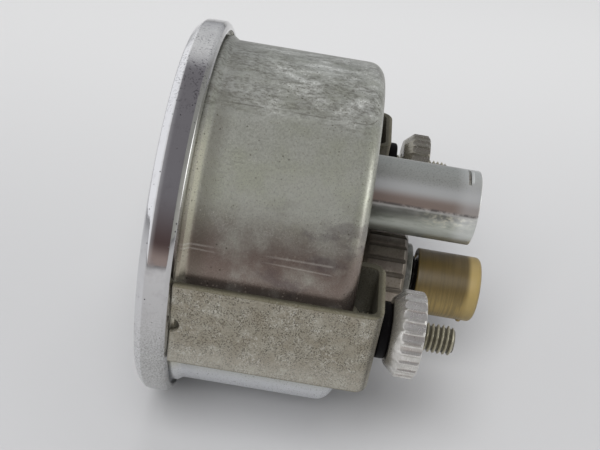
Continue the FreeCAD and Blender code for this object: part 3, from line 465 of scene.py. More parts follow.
def zinc_finish():
    """Drawn steel, dull zinc plate. Old plate is a satin grey with a green cast, clouded white where it has
    oxidised, pricked with dark pits and scratched. A brown reflection across its middle, a floor reflection
    along its bottom, a highlight by the flare and shade just behind the bezel are painted on."""
    look = Look("aged_zinc_plate")
    along, mottle, product, scratch = look.along, look.mottle, look.product, look.scratch
    high_up = along("Z", 22.3, 25.3)
    veil = product(mottle(2.2, 0.3, 0.7, 8.0, 0.35), high_up)
    grime = product(mottle(0.4, 0.32, 0.72, 3.0, 0.5, shift=21.0),
                    mottle(3.5, 0.3, 0.52, 3.0, 0.5, shift=17.0), high_up)
    cloud = product(mottle(0.22, 0.25, 0.75), mottle(1.3, 0.38, 0.68, 8.0, 0.4),
                    mottle(5.0, 0.34, 0.56, 3.0, shift=11.0), along("Z", 23.0, 25.3), along("Y", 3.0, 9.0))
    # painted brown reflection across the case's middle
    brown_reflection = product(mottle(5.0, 0.15, 0.6), along("Z", 17.0, 10.0), along("Z", -5.0, 2.0))
    smudge = product(mottle(3.2, 0.48, 0.62, 6.0, 0.6, shift=5.0), along("Z", 19.0, 14.0),
                     along("Y", 6.0, 14.0), along("Z", -4.0, 2.0))
    pit = product(look.pits(0.55, 0.14), mottle(1.6, 0.4, 0.55))
    spot = look.pits(1.5, 0.16, 1.3)
    coarse = product(mottle(0.32, 0.42, 0.64, 3.0, shift=8.0), along("Z", 6.0, 14.0))
    # painted shade in a band just behind the bezel
    beside = product(along("Y", 4.4, 2.2), along("Y", 1.3, 1.7))
    # painted reflection of the pale floor along the case's bottom
    under = along("Z", -8.0, -13.0)
    # painted highlight on the flare just behind the bezel
    mouth = product(along("Y", 1.8, 0.9), along("Z", 24.0, 20.0))
    fleck = product(mottle(0.3, 0.56, 0.66, 4.0, 0.6, shift=4.0), mottle(3.0, 0.4, 0.6, shift=9.0), high_up)
    grain = mottle(0.16, 0.35, 0.65)
    line = product(scratch((0.0, 0.0, 1.0), 24.25, 0.14), mottle(2.0, 0.4, 0.55, shift=2.0))
    rub = look.larger(scratch((0.0, 0.0, 1.0), 10.9, 0.4), scratch((0.0, 0.03, 1.0), 10.45, 0.3))
    rubbed = look.larger(product(along("Y", 10.0, 14.0), along("Y", 20.2, 19.6)), along("Y", 6.0, 2.5))
    colour = look.layered(
        bpy.context.scene.gauge_colours.case, ("#b0b2a2", mottle(5.0, 0.4, 0.7)), ("#88897f", grain, 0.5),
        ("#7f7f75", coarse, 0.4), ("#806c67", brown_reflection, 0.75), ("#6f6b60", beside, 0.45),
        ("#d8d4bf", mouth, 0.5), ("#e4e6ec", under, 0.75), ("#655c5e", smudge, 0.5),
        ("#8b8c84", high_up, 0.3), ("#c9cbc8", veil, 0.45), ("#65625a", grime, 0.75),
        ("#e2e4e1", cloud, 0.7), ("#6f6a60", fleck, 0.5), ("#5f5c54", line, 0.5),
        ("#dcdad2", rub, rubbed, 0.45), ("#4a463c", pit, 0.75), ("#4f4a3f", spot, 0.8))
    return look.done(
        (look.stepped(grain, (pit, 0.0), (spot, 0.0)), 0.002), base_color=colour,
        metallic=look.stepped(0.7, (brown_reflection, 0.88), (cloud, 0.25), (pit, 0.2)),
        roughness=look.stepped(0.27, (grain, 0.34), (veil, 0.5)))


def chrome_finish():
    """Bright chrome on brass, frosted by fine pitting towards the top and bottom and clear between."""
    look = Look("pitted_chrome")
    along, mottle, product = look.along, look.mottle, look.product
    crown = along("Z", 27.3, 28.4)
    foot = along("Z", 5.0, -8.0)
    frost = look.larger(crown, foot)
    speck = mottle(0.2, 0.46, 0.62)
    pit = product(look.pits(0.7, 0.14), mottle(2.6, 0.5, 0.62))
    scab = product(mottle(0.3, 0.52, 0.62, 6.0, shift=3.0), mottle(2.0, 0.42, 0.6, 3.0),
                   along("Z", 21.0, 27.5))
    film = mottle(1.4, 0.5, 0.72, 5.0, shift=6.0)
    front = along("Y", -3.4, -3.7)
    colour = look.layered(
        "#cccbcb", ("#c6c7c5", frost, 0.5), ("#e9e9eb", front, 0.7), ("#6b6b64", foot, speck, 0.7),
        ("#7f7f80", crown, speck, 0.3), ("#8c8488", film, 0.15), ("#55535a", scab, 0.7), ("#35333a", pit))
    return look.done(
        (look.stepped(product(speck, frost), (pit, 0.0)), 0.004), base_color=colour,
        metallic=look.stepped(1.0, (foot, 0.85), (crown, 0.5)),
        roughness=look.stepped(0.08, (film, 0.14), (frost, 0.3), (pit, 0.5)))


def tube_finish():
    """Bright zinc on thin steel tube, dulled along its top, with a dirty seam and cream corrosion under
    it."""
    look = Look("bright_zinc_tube")
    along, mottle, product = look.along, look.mottle, look.product
    crown = along("Z", 12.2, 13.2)
    speck = mottle(0.22, 0.5, 0.66)
    below = along("Z", 9.8, 9.3)
    gloom = product(mottle(2.0, 0.3, 0.55, 5.0, 0.25, shift=4.0), below, along("Z", 8.0, 8.9))
    cream = product(mottle(0.5, 0.4, 0.7, 5.0, 0.6), below, along("Z", 6.6, 8.2), along("Y", 30.0, 36.0))
    band = product(along("Z", 12.0, 10.8), along("Z", 9.6, 10.2))
    under = along("Z", 9.5, 8.0)
    seam = product(look.scratch((0.0, 0.0, 1.0), 9.9, 0.7), mottle(1.5, 0.3, 0.5, shift=1.0))
    shade = product(mottle(1.6, 0.4, 0.6, 6.0, 0.3, shift=13.0), below, along("Z", 5.0, 8.0))
    mouth = along("Y", 36.0, 38.5)
    colour = look.layered(
        "#d0d2d0", ("#a0a29c", crown, 0.7), ("#a18b7d", band, 0.75), ("#a9ad9e", under, 0.6),
        ("#7b7f74", shade, 0.6), ("#5a5a54", gloom, 0.75), ("#80817b", speck, crown, 0.5),
        ("#ded8c2", cream, 0.5), ("#eceeec", mouth, 0.5), ("#4a4847", seam, 0.75))
    return look.done((speck, 0.001), base_color=colour, metallic=look.stepped(0.8, (cream, 0.4)),
                     roughness=look.stepped(0.3, (crown, 0.42)))


def bracket_finish():
    """Steel strip with dull zinc plate, matt and sand-speckled by corrosion. Its sheared edges carry a
    painted reflection of the dark case, and its inside painted shade."""
    look = Look("speckled_zinc_strip")
    along, mottle, product = look.along, look.mottle, look.product
    fine = mottle(0.16, 0.4, 0.6)
    dark = product(mottle(0.2, 0.5, 0.6, shift=3.0), mottle(1.5, 0.34, 0.52))
    white = product(mottle(0.3, 0.5, 0.62, 5.0, shift=9.0), mottle(2.6, 0.4, 0.62, shift=7.0))
    pale = mottle(2.4, 0.42, 0.7, shift=7.0)
    brown = mottle(2.8, 0.46, 0.66, 5.0, shift=15.0)
    # painted reflection of the dark case on the strip's edge faces
    edge = along("Z", 6.4, 6.62, both=True)
    # painted shade on the inner faces between the case and the foot
    inside = product(along("X", 27.3, 26.7, both=True), along("Y", 27.4, 26.8))
    colour = look.layered(
        bpy.context.scene.gauge_colours.bracket, ("#b2b0a5", pale, 0.5), ("#857a66", brown, 0.35),
        ("#7d7567", fine, 0.4), ("#cfcec7", white, 0.45), ("#4b463c", dark, 0.85),
        ("#c2c0b8", along("Z", -1.0, -6.0), 0.3), ("#66624f", edge, 0.7), ("#38362c", inside, 0.75))
    return look.done((fine, 0.006), base_color=colour, metallic=0.45,
                     roughness=look.stepped(0.48, (fine, 0.62)))


def aluminium_finish():
    """Turned aluminium, dulled, with fine tool lines and light scratches, and painted shade on the far nut
    and on the cones.
    """
    look = Look("turned_aluminium")
    lines = look.mottle(0.12, 0.35, 0.65, 2.0, ring_scale=0.15)
    haze = look.mottle(1.2, 0.42, 0.66, 6.0)
    nick = look.mottle(0.25, 0.6, 0.68, shift=5.0)
    # the far nut is painted darker as shade
    aged = look.along("X", 5.0, -5.0)
    # painted shade on the nuts' cones, which face the brackets
    cone = look.along("Y", 30.4, 28.8)
    colour = look.layered(
        bpy.context.scene.gauge_colours.nut, ("#b9b6b0", haze, 0.4), ("#7d7867", aged, 0.8),
        ("#8d887d", cone, 0.9), ("#9a9691", lines, 0.2), ("#f0efec", nick, 0.5))
    return look.done((lines, 0.003), base_color=colour, metallic=0.88,
                     roughness=look.stepped(0.27, (haze, 0.38)))


def collar_finish():
    """Turned steel with dull zinc plate, browned on its flutes, with the lamp tube's shadow painted over its
    top.
    """
    look = Look("dull_turned_steel")
    haze = look.mottle(1.8, 0.4, 0.62, 5.0)
    hollow = look.off_axis(0.0, PORT_Z, 7.38, 7.2)
    colour = look.layered(
        "#a39a8e", ("#8a7f74", haze, 0.6), ("#5a5548", look.mottle(0.3, 0.52, 0.66), 0.4),
        # the last layer is the lamp tube's shadow, painted darker towards the collar's top
        ("#4a463d", hollow, 0.6), ("#3d3934", look.along("Z", -3.5, -1.0), 0.6))
    return look.done((look.mottle(0.2, 0.3, 0.7), 0.003), base_color=colour, metallic=0.75,
                     roughness=look.stepped(0.34, (haze, 0.5)))


def ring_finish():
    """Turned steel ring, zinc plated and hazed."""
    look = Look("zinc_turned_ring")
    haze = look.mottle(1.0, 0.4, 0.62, 5.0)
    colour = look.layered("#85857f", ("#696963", haze))
    return look.done((haze, 0.002), base_color=colour, metallic=0.8, roughness=0.36)


def stud_finish():
    """Rolled steel thread with dull, slightly yellow zinc, darker in its roots."""
    look = Look("zinc_thread_steel")
    haze = look.mottle(0.8, 0.42, 0.6)
    root = look.off_axis(STUD_X, 0.0, 1.86, 1.66)
    colour = look.layered("#bdb8a4", ("#a19b86", haze, 0.6), ("#3d3a30", root, 0.8))
    return look.done((haze, 0.002), base_color=colour, metallic=0.75, roughness=0.33)


def rubber_finish():
    """Moulded black rubber, satin with a little dust."""
    look = Look("black_rubber")
    dust = look.mottle(0.5, 0.55, 0.75, 5.0)
    colour = look.layered("#090809", ("#5c5a56", dust, 0.06))
    return look.done((look.mottle(0.25, 0.3, 0.7), 0.01), base_color=colour, specular_ior_level=0.08,
                     roughness=look.stepped(0.5, (dust, 0.7)))


def cap_finish():
    """Soft polyethylene cap, yellowed and translucent. Its threaded sides are painted darker, with painted
    lines of the thread seen through them and painted shade over the top, and its solid end stays pale."""
    look = Look("aged_polyethylene")
    cloud = look.mottle(2.5, 0.4, 0.65, 3.0)
    # painted darkness of the thread inside, seen through the threaded sides
    threaded = look.along("Y", 42.5, 41.5)
    shadow = look.product(threaded, look.along("Z", -8.0, -4.0))
    # painted lines of the thread seen through the plastic
    lines = look.product(look.mottle(0.34, 0.42, 0.6, 2.0, ring_scale=0.07), threaded)
    colour = look.layered(
        bpy.context.scene.gauge_colours.cap, ("#b39c64", cloud, 0.3), ("#a68e55", threaded, 0.75),
        ("#6a5e40", lines, 0.5), ("#4d3f20", shadow, 0.85))
    return look.done((cloud, 0.01), base_color=colour, specular_ior_level=0.3, transmission_weight=0.4,
                     ior=1.51, roughness=look.stepped(0.4, (cloud, 0.46)))


def glass_finish():
    """Flat window glass with a faint film of dust."""
    look = Look("window_glass")
    film = look.mottle(3.0, 0.4, 0.7, 6.0)
    return look.done(base_color=hex_colour("#f4f8f6"), specular_ior_level=0.25, transmission_weight=1.0,
                     ior=1.52, roughness=look.stepped(0.0, (film, 0.04)))


def brass_finish(name, colour, shade, shaded_span=None):
    """Rolled or turned brass, satin, browned in patches, and painted black as shade between two places along
    Y if they are given."""
    look = Look(name)
    haze = look.mottle(2.0, 0.42, 0.65)
    layers, metallic, edge = [(shade, haze)], 1.0, 0.1
    if shaded_span:
        start, end = shaded_span
        # painted shade: black between two places along Y
        gap_shade = look.product(look.along("Y", start - edge, start), look.along("Y", end + edge, end))
        layers.append(("#0d0b09", gap_shade))
        metallic = look.stepped(1.0, (gap_shade, 0.0))
    return look.done((look.mottle(0.15, 0.3, 0.7), 0.004), base_color=look.layered(colour, *layers),
                     metallic=metallic, roughness=look.stepped(0.27, (haze, 0.38)))


def paint_finish(name, colour, shade, roughness):
    """Sprayed paint with a fine orange peel and slight fading."""
    look = Look(name)
    fade = look.mottle(8.0, 0.35, 0.7)
    return look.done((look.mottle(0.3, 0.3, 0.7), 0.006), base_color=look.layered(colour, (shade, fade)),
                     roughness=roughness)


def fibre_finish():
    """Vulcanised fibre sealing washer, dark red-brown and matt."""
    look = Look("vulcanised_fibre")
    flock = look.mottle(0.4, 0.4, 0.6)
    return look.done((flock, 0.02), base_color=look.layered("#2c2320", ("#3b302a", flock)), roughness=0.75)


# Operators, one for each piece or group

class GAUGE_OT_stage(bpy.types.Operator):
    """Lay the pale floor, light it softly and set the photograph's camera"""
    bl_idname = "gauge.stage"
    bl_label = "Stage"

    def execute(self, context):
        self.floor(context)
        self.world(context)
        self.lamps(context)
        self.camera(context)
        context.scene.view_settings.view_transform = "Standard"
        return {"FINISHED"}

    def floor(self, context):
        """Square through the bezel's lowest point, rising along Y by FLOOR_RISE for each millimetre."""
        u, v = np.meshgrid((-FLOOR_HALF, FLOOR_HALF), (-FLOOR_HALF, FLOOR_HALF))
        height = low("bezel_ring", Z) + FLOOR_RISE * (v - FLOOR_TOUCH_Y)
        mesh = bpy.data.meshes.new("floor")
        corners = np.stack([u, v, height], axis=-1).reshape(-1, 3) * MM
        mesh.from_pydata(corners.tolist(), [], [(0, 1, 3, 2)])
        floor = bpy.data.objects.new("floor", mesh)
        context.scene.collection.objects.link(floor)
        look = Look("matt_paper")
        # painted light: the floor is lighter towards the far side
        colour = look.layered(context.scene.gauge_colours.floor, ("#d6d6d6", look.along("X", 20.0, -150.0)))
        mesh.materials.append(look.done(base_color=colour, roughness=0.9))

    def world(self, context):
        """Even light for matt surfaces. Mirrors and glass see a room instead: brown ahead, grey above and
        behind, white on the left, pale on the right with a bright window, and a pale horizon."""
        world = bpy.data.worlds.new("studio")
        context.scene.world = world
        world.use_nodes = True
        world.cycles.sampling_method = "NONE"
        sky = Nodes(world.node_tree)
        way = sky.add("ShaderNodeTexCoord").outputs["Generated"]
        height = sky.dot(way, (0.0, 0.0, 1.0))
        right = sky.dot(way, (0.0, 1.0, 0.0))
        window = sky.ramp(sky.dot(way, (-0.1, 0.985, 0.14)), 0.93, 0.985)
        room = sky.layered(
            "#594a49", ("#807e83", sky.ramp(height, 0.15, 0.7)), ("#a3948f", sky.ramp(height, 0.2, 0.0)),
            ("#a9abb0", sky.ramp(sky.dot(way, (-1.0, 0.0, 0.0)), 0.4, 0.85)),
            ("#f8f9fc", sky.ramp(sky.dot(way, (0.0, -1.0, 0.0)), 0.25, 0.6)),
            ("#a0a19d", sky.ramp(right, 0.4, 0.7)), ("#cfcec8", sky.ramp(right, 0.78, 0.93)),
            ("#ffffff", window))

        def light(colour, strength):
            return sky.add("ShaderNodeBackground", {"Color": colour, "Strength": strength}).outputs[0]

        def choice(share, first, second):
            return sky.add("ShaderNodeMixShader", {0: share, 1: first, 2: second}).outputs[0]

        rays = sky.add("ShaderNodeLightPath")
        mirrored = sky.larger(rays.outputs["Is Glossy Ray"], rays.outputs["Is Transmission Ray"])
        reflected = light(room, sky.stepped(1.0, (window, 2.8)))
        lit = choice(mirrored, light(hex_colour("#f4f5f8"), 0.35), reflected)
        shown = choice(rays.outputs["Is Camera Ray"], lit, light(hex_colour("#dededf"), 1.0))
        sky.add("ShaderNodeOutputWorld", {"Surface": shown})

    def lamps(self, context):
        """Two white soft boxes, each (name, place, size, watts), aimed at the gauge, in millimetres."""
        aim = (0.0, 15.0, 0.0)
        boxes = (
            ("front_box", (400.0, -85.0, 570.0), 480.0, 5.5),
            ("back_box", (-260.0, 40.0, 560.0), 420.0, 1.0),
        )
        for name, place, size, watts in boxes:
            data = bpy.data.lights.new(name, "AREA")
            data.size = size * MM
            data.energy = watts
            lamp = bpy.data.objects.new(name, data)
            lamp.visible_glossy = False
            context.scene.collection.objects.link(lamp)
            ray = np.array(aim) - np.array(place)
            ray = ray / np.linalg.norm(ray)
            side = np.cross(ray, (0.0, 0.0, 1.0))
            side /= np.linalg.norm(side)
            up = np.cross(side, ray)
            turn = Matrix(np.column_stack([side, up, -ray]).tolist()).to_4x4()
            lamp.matrix_world = Matrix.Translation(np.array(place) * MM) @ turn

    def camera(self, context):
        """Camera that looks along -X and down, rolled about its own line of sight."""
        data = bpy.data.cameras.new("camera")
        data.lens = CAMERA_LENS
        data.sensor_width = CAMERA_SENSOR
        data.sensor_fit = "HORIZONTAL"
        data.clip_start = 0.005
        data.clip_end = 10.0
        camera = bpy.data.objects.new("camera", data)
        context.scene.collection.objects.link(camera)
        ahead = np.array([-math.cos(CAMERA_ELEVATION), 0.0, -math.sin(CAMERA_ELEVATION)])
        level = np.array([0.0, 1.0, 0.0])
        upright = np.cross(level, ahead)
        right = level * math.cos(CAMERA_ROLL) + upright * math.sin(CAMERA_ROLL)
        up = upright * math.cos(CAMERA_ROLL) - level * math.sin(CAMERA_ROLL)
        turn = Matrix(np.column_stack([right, up, -ahead]).tolist()).to_4x4()
        camera.matrix_world = Matrix.Translation(np.array(CAMERA_PLACE) * MM) @ turn
        context.scene.camera = camera


class GAUGE_OT_bezel(bpy.types.Operator):
    """Turn the chromed bezel with its sloping front, band and crimped rear lip"""
    bl_idname = "gauge.bezel"
    bl_label = "Bezel"

    def execute(self, context):
        outer = high("bezel_ring", X)
        front, rear = span("bezel_ring", Y)
        opening, wall = outer - 4.15, 0.7
        bevel = context.scene.gauge_sizes.bezel_bevel
        lip = high("case_shell", X) - 0.2
        ring = turned([
            (opening, front + wall, 0.12), (opening, front, 0.3),
            (outer - bevel, front, 0.8), (outer - 0.08, front + bevel, 0.6),
            (outer, front + bevel + 0.9, 0), (outer, rear - 0.85, 0.3), (outer - 0.35, rear - 0.3, 0.35),
            (outer - 0.85, rear, 0.25), (lip, rear, 0.1), (lip, rear - 0.55, 0),
            (outer - wall, rear - 0.6, 0), (outer - wall, front + bevel + 0.2, 0.4),
            (outer - wall - bevel * 0.7, front + wall, 0.4),
        ], 6, 0.5, 320)
        new_piece("bezel", [ring], chrome_finish(), ["bezel_ring"], sharp=60.0)
        return {"FINISHED"}


class GAUGE_OT_case(bpy.types.Operator):
    """Turn the drawn case and open it for the lamp tube and the port"""
    bl_idname = "gauge.case"
    bl_label = "Case"

    def execute(self, context):
        radius, wall, corner = CASE_RADIUS, 0.8, context.scene.gauge_sizes.case_corner
        front, rear = span("case_shell", Y)
        flare = radius + 0.5
        flange = high("case_shell", X)
        cup = turned([
            (0.0, rear, 0), (radius, rear, corner), (radius, 1.35, 0.6), (flare, 0.55, 0.12),
            (flare, front + wall, 0),
            (flange, front + wall, 0), (flange, front, 0), (radius - wall, front, 0.3),
            (radius - wall, rear - wall, corner - wall), (0.0, rear - wall, 0),
        ], 12, 1.0, 320)
        bores = ((high("lamp_tube", X) - 1.2, middle("lamp_tube", Z)), (4.0, middle("port_cap", Z)))
        holes = [rod_shape(size + PLAY, rear - 3.0, rear + 1.0, 0.0, z) for size, z in bores]
        new_piece("case", [cup], zinc_finish(), ["case_shell"], holes=holes)
        return {"FINISHED"}


class GAUGE_OT_lamp_tube(bpy.types.Operator):
    """Roll the lamp tube with its flange, slit and pressed-out catch"""
    bl_idname = "gauge.lamp_tube"
    bl_label = "Lamp tube"

    def execute(self, context):
        z = LAMP_Z
        start, end = span("lamp_tube", Y)
        radius, wall, flange = 5.6, 0.5, 6.8
        seat = high("case_shell", Y)
        angles = around(288)
        outline = refine(rounded([
            (radius - wall, start, 0), (flange, start, 0.1), (flange, start + 0.8, 0),
            (radius, start + 0.8, 0), (radius, seat, 0), (radius + 0.35, seat, 0.1),
            (radius + 0.3, seat + 0.35, 0.2), (radius, seat + 0.6, 0.2), (radius, end, 0.2),
            (radius - wall, end, 0.15),
        ], 4), 0.35)
        r, y = outline[:, 0:1], outline[:, 1:2]
        centre, half = math.radians(88.0), math.radians(20.0)
        window = np.clip(1.0 - np.abs((angles - centre) / half) ** 6, 0.0, 1.0)
        slit_y = end - 1.6
        tongue = np.clip((y - slit_y) / 0.15, 0.0, 1.0) * np.clip((end - 0.1 - y) / 1.2, 0.0, 1.0)
        near_wall = (y > seat + 2.0) & (r > radius - 0.4)
        bulge = 0.3 * window * tongue * near_wall
        tube = turned_points(r + bulge, y, angles, 0.0, z), grid_faces(len(outline), angles.size)
        wedge = np.linspace(centre - half, centre + half, 24)[None, :]
        inside, outside, slit_front = radius - wall - 0.6, radius + 0.8, slit_y - 0.4
        loop = np.array([[inside, slit_front], [outside, slit_front], [outside, slit_y], [inside, slit_y]])
        ring = turned_points(loop[:, 0:1], loop[:, 1:2], wedge, 0.0, z).transpose(1, 0, 2)
        slit = np.concatenate([ring[:1].mean(1, keepdims=True).repeat(4, 1), ring,
                               ring[-1:].mean(1, keepdims=True).repeat(4, 1)])
        cutter = slit, grid_faces(len(slit), 4, wrap_rows=False)
        new_piece("lamp_socket_tube", [tube], tube_finish(), ["lamp_tube"], holes=[cutter])
        return {"FINISHED"}


class GAUGE_OT_port(bpy.types.Operator):
    """Cut the port's thread, turn its collar nut and lock ring, and give its washer a finish"""
    bl_idname = "gauge.port"
    bl_label = "Pressure port"

    def execute(self, context):
        sizes = context.scene.gauge_sizes
        z, bore, crest, smooth_below = middle("port_cap", Z), 1.3, 4.0, math.radians(32.0)
        # Y 32.9 to 34.3 is the spigot's gap between lock ring and cap, painted black as shade
        brass = brass_finish("aged_brass", "#b08d4e", "#8a6c3c", (32.9, 34.3))
        inside = high("case_shell", Y) - 0.8
        end = high("port_block", Y)
        work = bmesh.new()
        work.from_mesh(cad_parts["port_block"].data)
        bmesh.ops.remove_doubles(work, verts=work.verts, dist=1e-7)
        cut = bmesh.ops.bisect_plane(work, geom=work.verts[:] + work.edges[:] + work.faces[:],
                                     plane_co=(0.0, (inside + 0.1) * MM, 0.0), plane_no=(0.0, 1.0, 0.0),
                                     clear_outer=True)
        rim = [e for e in cut["geom_cut"] if isinstance(e, bmesh.types.BMEdge)]
        bmesh.ops.holes_fill(work, edges=rim)
        block = bpy.data.meshes.new("block")
        work.to_mesh(block)
        work.free()
        points = np.empty(len(block.vertices) * 3)
        block.vertices.foreach_get("co", points)
        faces = [list(face.vertices) for face in block.polygons]
        spigot = thread_shape(crest, 0.6, sizes.port_pitch, inside, end, 0.9, z=z,
                              bore=bore, bore_depth=end - inside - 0.3)
        piece = new_piece("port_socket", [spigot], brass, ["port_block"])
        join = bmesh.new()
        join.from_mesh(piece.data)
        verts = [join.verts.new(co) for co in points.reshape(-1, 3)]
        for face in faces:
            join.faces.new([verts[i] for i in face])
        join.to_mesh(piece.data)
        join.free()
        piece.data.set_sharp_from_angle(angle=smooth_below)
        hole = crest + PLAY
        y0, y1 = span("port_collar_nut", Y)
        collar = fluted_nut(hole, 5.9, 7.5, y0, 1.9, y1, edge=0.6, flutes=sizes.collar_flutes,
                            depth=sizes.flute_depth, share=0.36, z=z)
        new_piece("collar_nut", [collar], collar_finish(), ["port_collar_nut"])
        y0, y1 = span("port_lock_ring", Y)
        rim = 5.6
        ring = turned([(hole, y0, 0.1), (rim, y0, 0.15), (rim, y1, 0.3), (hole, y1, 0.2)], 5, 0.4, 160, z=z)
        new_piece("lock_ring", [ring], ring_finish(), ["port_lock_ring"])
        dress("port_washer", fibre_finish())
        return {"FINISHED"}


class GAUGE_OT_port_cap(bpy.types.Operator):
    """Mould the translucent cap with its inside thread and moulding nib"""
    bl_idname = "gauge.port_cap"
    bl_label = "Port cap"

    def execute(self, context):
        pitch = context.scene.gauge_sizes.port_pitch
        z, radius, bore, floor = PORT_Z, 5.12, 4.08, 1.5
        start, end = span("port_cap", Y)
        angles = around(144)
        corners = [(0.0, end, 0), (radius, end, 0.8), (radius, start, 0.2), (bore + 0.25, start, 0.1)]
        outer = refine(rounded(corners, 6)[:-1], 0.4)
        along = np.linspace(start + 0.4, end - floor, 120)[:, None]
        phase = (along - low("port_block", Y)) / pitch - angles / TURN
        groove = 0.22 * np.clip(np.abs(2.0 * (phase - np.floor(phase)) - 1.0) * 1.5 - 0.25, 0.0, 1.0)
        fade = np.clip((end - floor - along) / 0.6, 0.0, 1.0)
        inner = bore + groove * fade
        full = np.ones_like(angles)
        radii = np.vstack([outer[:, 0:1] * full, inner, 0.0 * full])
        places = np.vstack([outer[:, 1:2] * full, along * full, (end - floor) * full])
        points = turned_points(radii, places, angles, 0.0, z)
        cap = points, grid_faces(len(radii), angles.size, wrap_rows=False)
        nib_angle, nib_size = math.radians(-55.0), 0.42
        height = np.linspace(0.0, 1.0, 8)[:, None]
        nib_r = nib_size * np.sqrt(np.clip(1.0 - height ** 2.5, 0.0, 1.0))
        turn = around(24)
        out = radius - 0.1 + nib_size * height
        side = nib_r * np.cos(turn)
        rise = nib_r * np.sin(turn)
        out = np.repeat(out, turn.size, 1)
        nib = np.stack([out * math.cos(nib_angle) - side * math.sin(nib_angle), end - 1.9 + rise,
                        z + out * math.sin(nib_angle) + side * math.cos(nib_angle)], axis=-1)
        base = nib[:1].mean(1, keepdims=True).repeat(turn.size, 1)
        nib = np.concatenate([base, nib]), grid_faces(9, turn.size, wrap_rows=False)
        new_piece("protective_cap", [cap, nib], cap_finish(), ["port_cap"], "cap")
        return {"FINISHED"}


class GAUGE_OT_studs(bpy.types.Operator):
    """Roll the two threaded studs with their weld feet"""
    bl_idname = "gauge.studs"
    bl_label = "Studs"

    def execute(self, context):
        steel = stud_finish()
        pitch = context.scene.gauge_sizes.stud_pitch
        for word, _ in SIDES:
            node = word + "_stud"
            x = middle(node, X)
            foot, end = span(node, Y)
            top = foot + 0.8
            thread = thread_shape(2.0, 0.42, pitch, foot + 0.7, end, 0.45, x)
            weld = turned([(0.0, foot, 0), (2.75, foot, 0), (2.2, top, 0.3), (0.0, top, 0)], 4, 0.4, 72, x)
            new_piece(word + "_threaded_stud", [thread, weld], steel, [node])
        return {"FINISHED"}


class GAUGE_OT_brackets(bpy.types.Operator):
    """Bend the two clamp brackets from strip, with their stud holes and notches"""
    bl_idname = "gauge.brackets"
    bl_label = "Clamp brackets"

    def execute(self, context):
        finish = bracket_finish()
        sheet, edge, lip, bend = 1.0, 0.14, 24.0, 1.5
        middle_line = sheet / 2.0
        for word, side in SIDES:
            node = word + "_clamp_bracket"
            outer = high(node, X) if side > 0 else -low(node, X)
            inner = low(node, X) if side > 0 else -high(node, X)
            front, rear = span(node, Y)
            width = high(node, Z) - low(node, Z)
            leg, end, foot = outer - middle_line, inner + middle_line, rear - middle_line
            bends = rounded([(leg, front, 0), (leg, foot, bend), (end, foot, bend), (end, lip, 0)], 10)
            path = refine(bends, 1.2, closed=False)
            step = [0.0, edge]
            path = np.vstack([path[:1], path[:1] + step, path[1:-1], path[-1:] + step, path[-1:]])
            stud_x = side * middle(word + "_stud", X)
            hole = rod_shape(2.2, rear - 2.0 * sheet, rear + 1.0, side * stud_x, 0.0)
            points, faces = rod_shape(1.3, side * (outer + 1.0), side * (outer - 2.0), front, 0.0)
            notch = points[..., [1, 0, 2]], faces
            strip = strip_shape(path, width, sheet, edge, side)
            new_piece(word + "_clamp", [strip], finish, [node], word + "_clamp",
                      [hole, notch], 38.0)
        return {"FINISHED"}


class GAUGE_OT_washers(bpy.types.Operator):
    """Mould the two rubber washers behind the brackets"""
    bl_idname = "gauge.washers"
    bl_label = "Rubber washers"

    def execute(self, context):
        rubber = rubber_finish()
        for word, _ in SIDES:
            node = word + "_rubber_washer"
            y0, y1 = span(node, Y)
            hole, radius = 2.0 + PLAY, (high(node, X) - low(node, X)) / 2.0
            washer = turned([(hole, y0, 0.2), (radius, y0, 0.45), (radius, y1, 0.45), (hole, y1, 0.2)],
                            6, 0.3, 128, middle(node, X))
            new_piece(word + "_washer", [washer], rubber, [node], word + "_clamp")
        dress("lens_gasket", rubber)
        return {"FINISHED"}


class GAUGE_OT_thumb_nuts(bpy.types.Operator):
    """Turn and flute the two thumb nuts"""
    bl_idname = "gauge.thumb_nuts"
    bl_label = "Thumb nuts"

    def execute(self, context):
        sizes = context.scene.gauge_sizes
        metal = aluminium_finish()
        for word, _ in SIDES:
            node = word + "_thumb_nut"
            y0, y1 = span(node, Y)
            nut = fluted_nut(2.0 + PLAY, 4.6, 6.0, y0, 1.6, y1, edge=0.35, flutes=sizes.nut_flutes,
                             depth=sizes.flute_depth * 0.75, share=0.84, x=middle(node, X))
            new_piece(word + "_nut", [nut], metal, [node], word + "_nut")
        return {"FINISHED"}


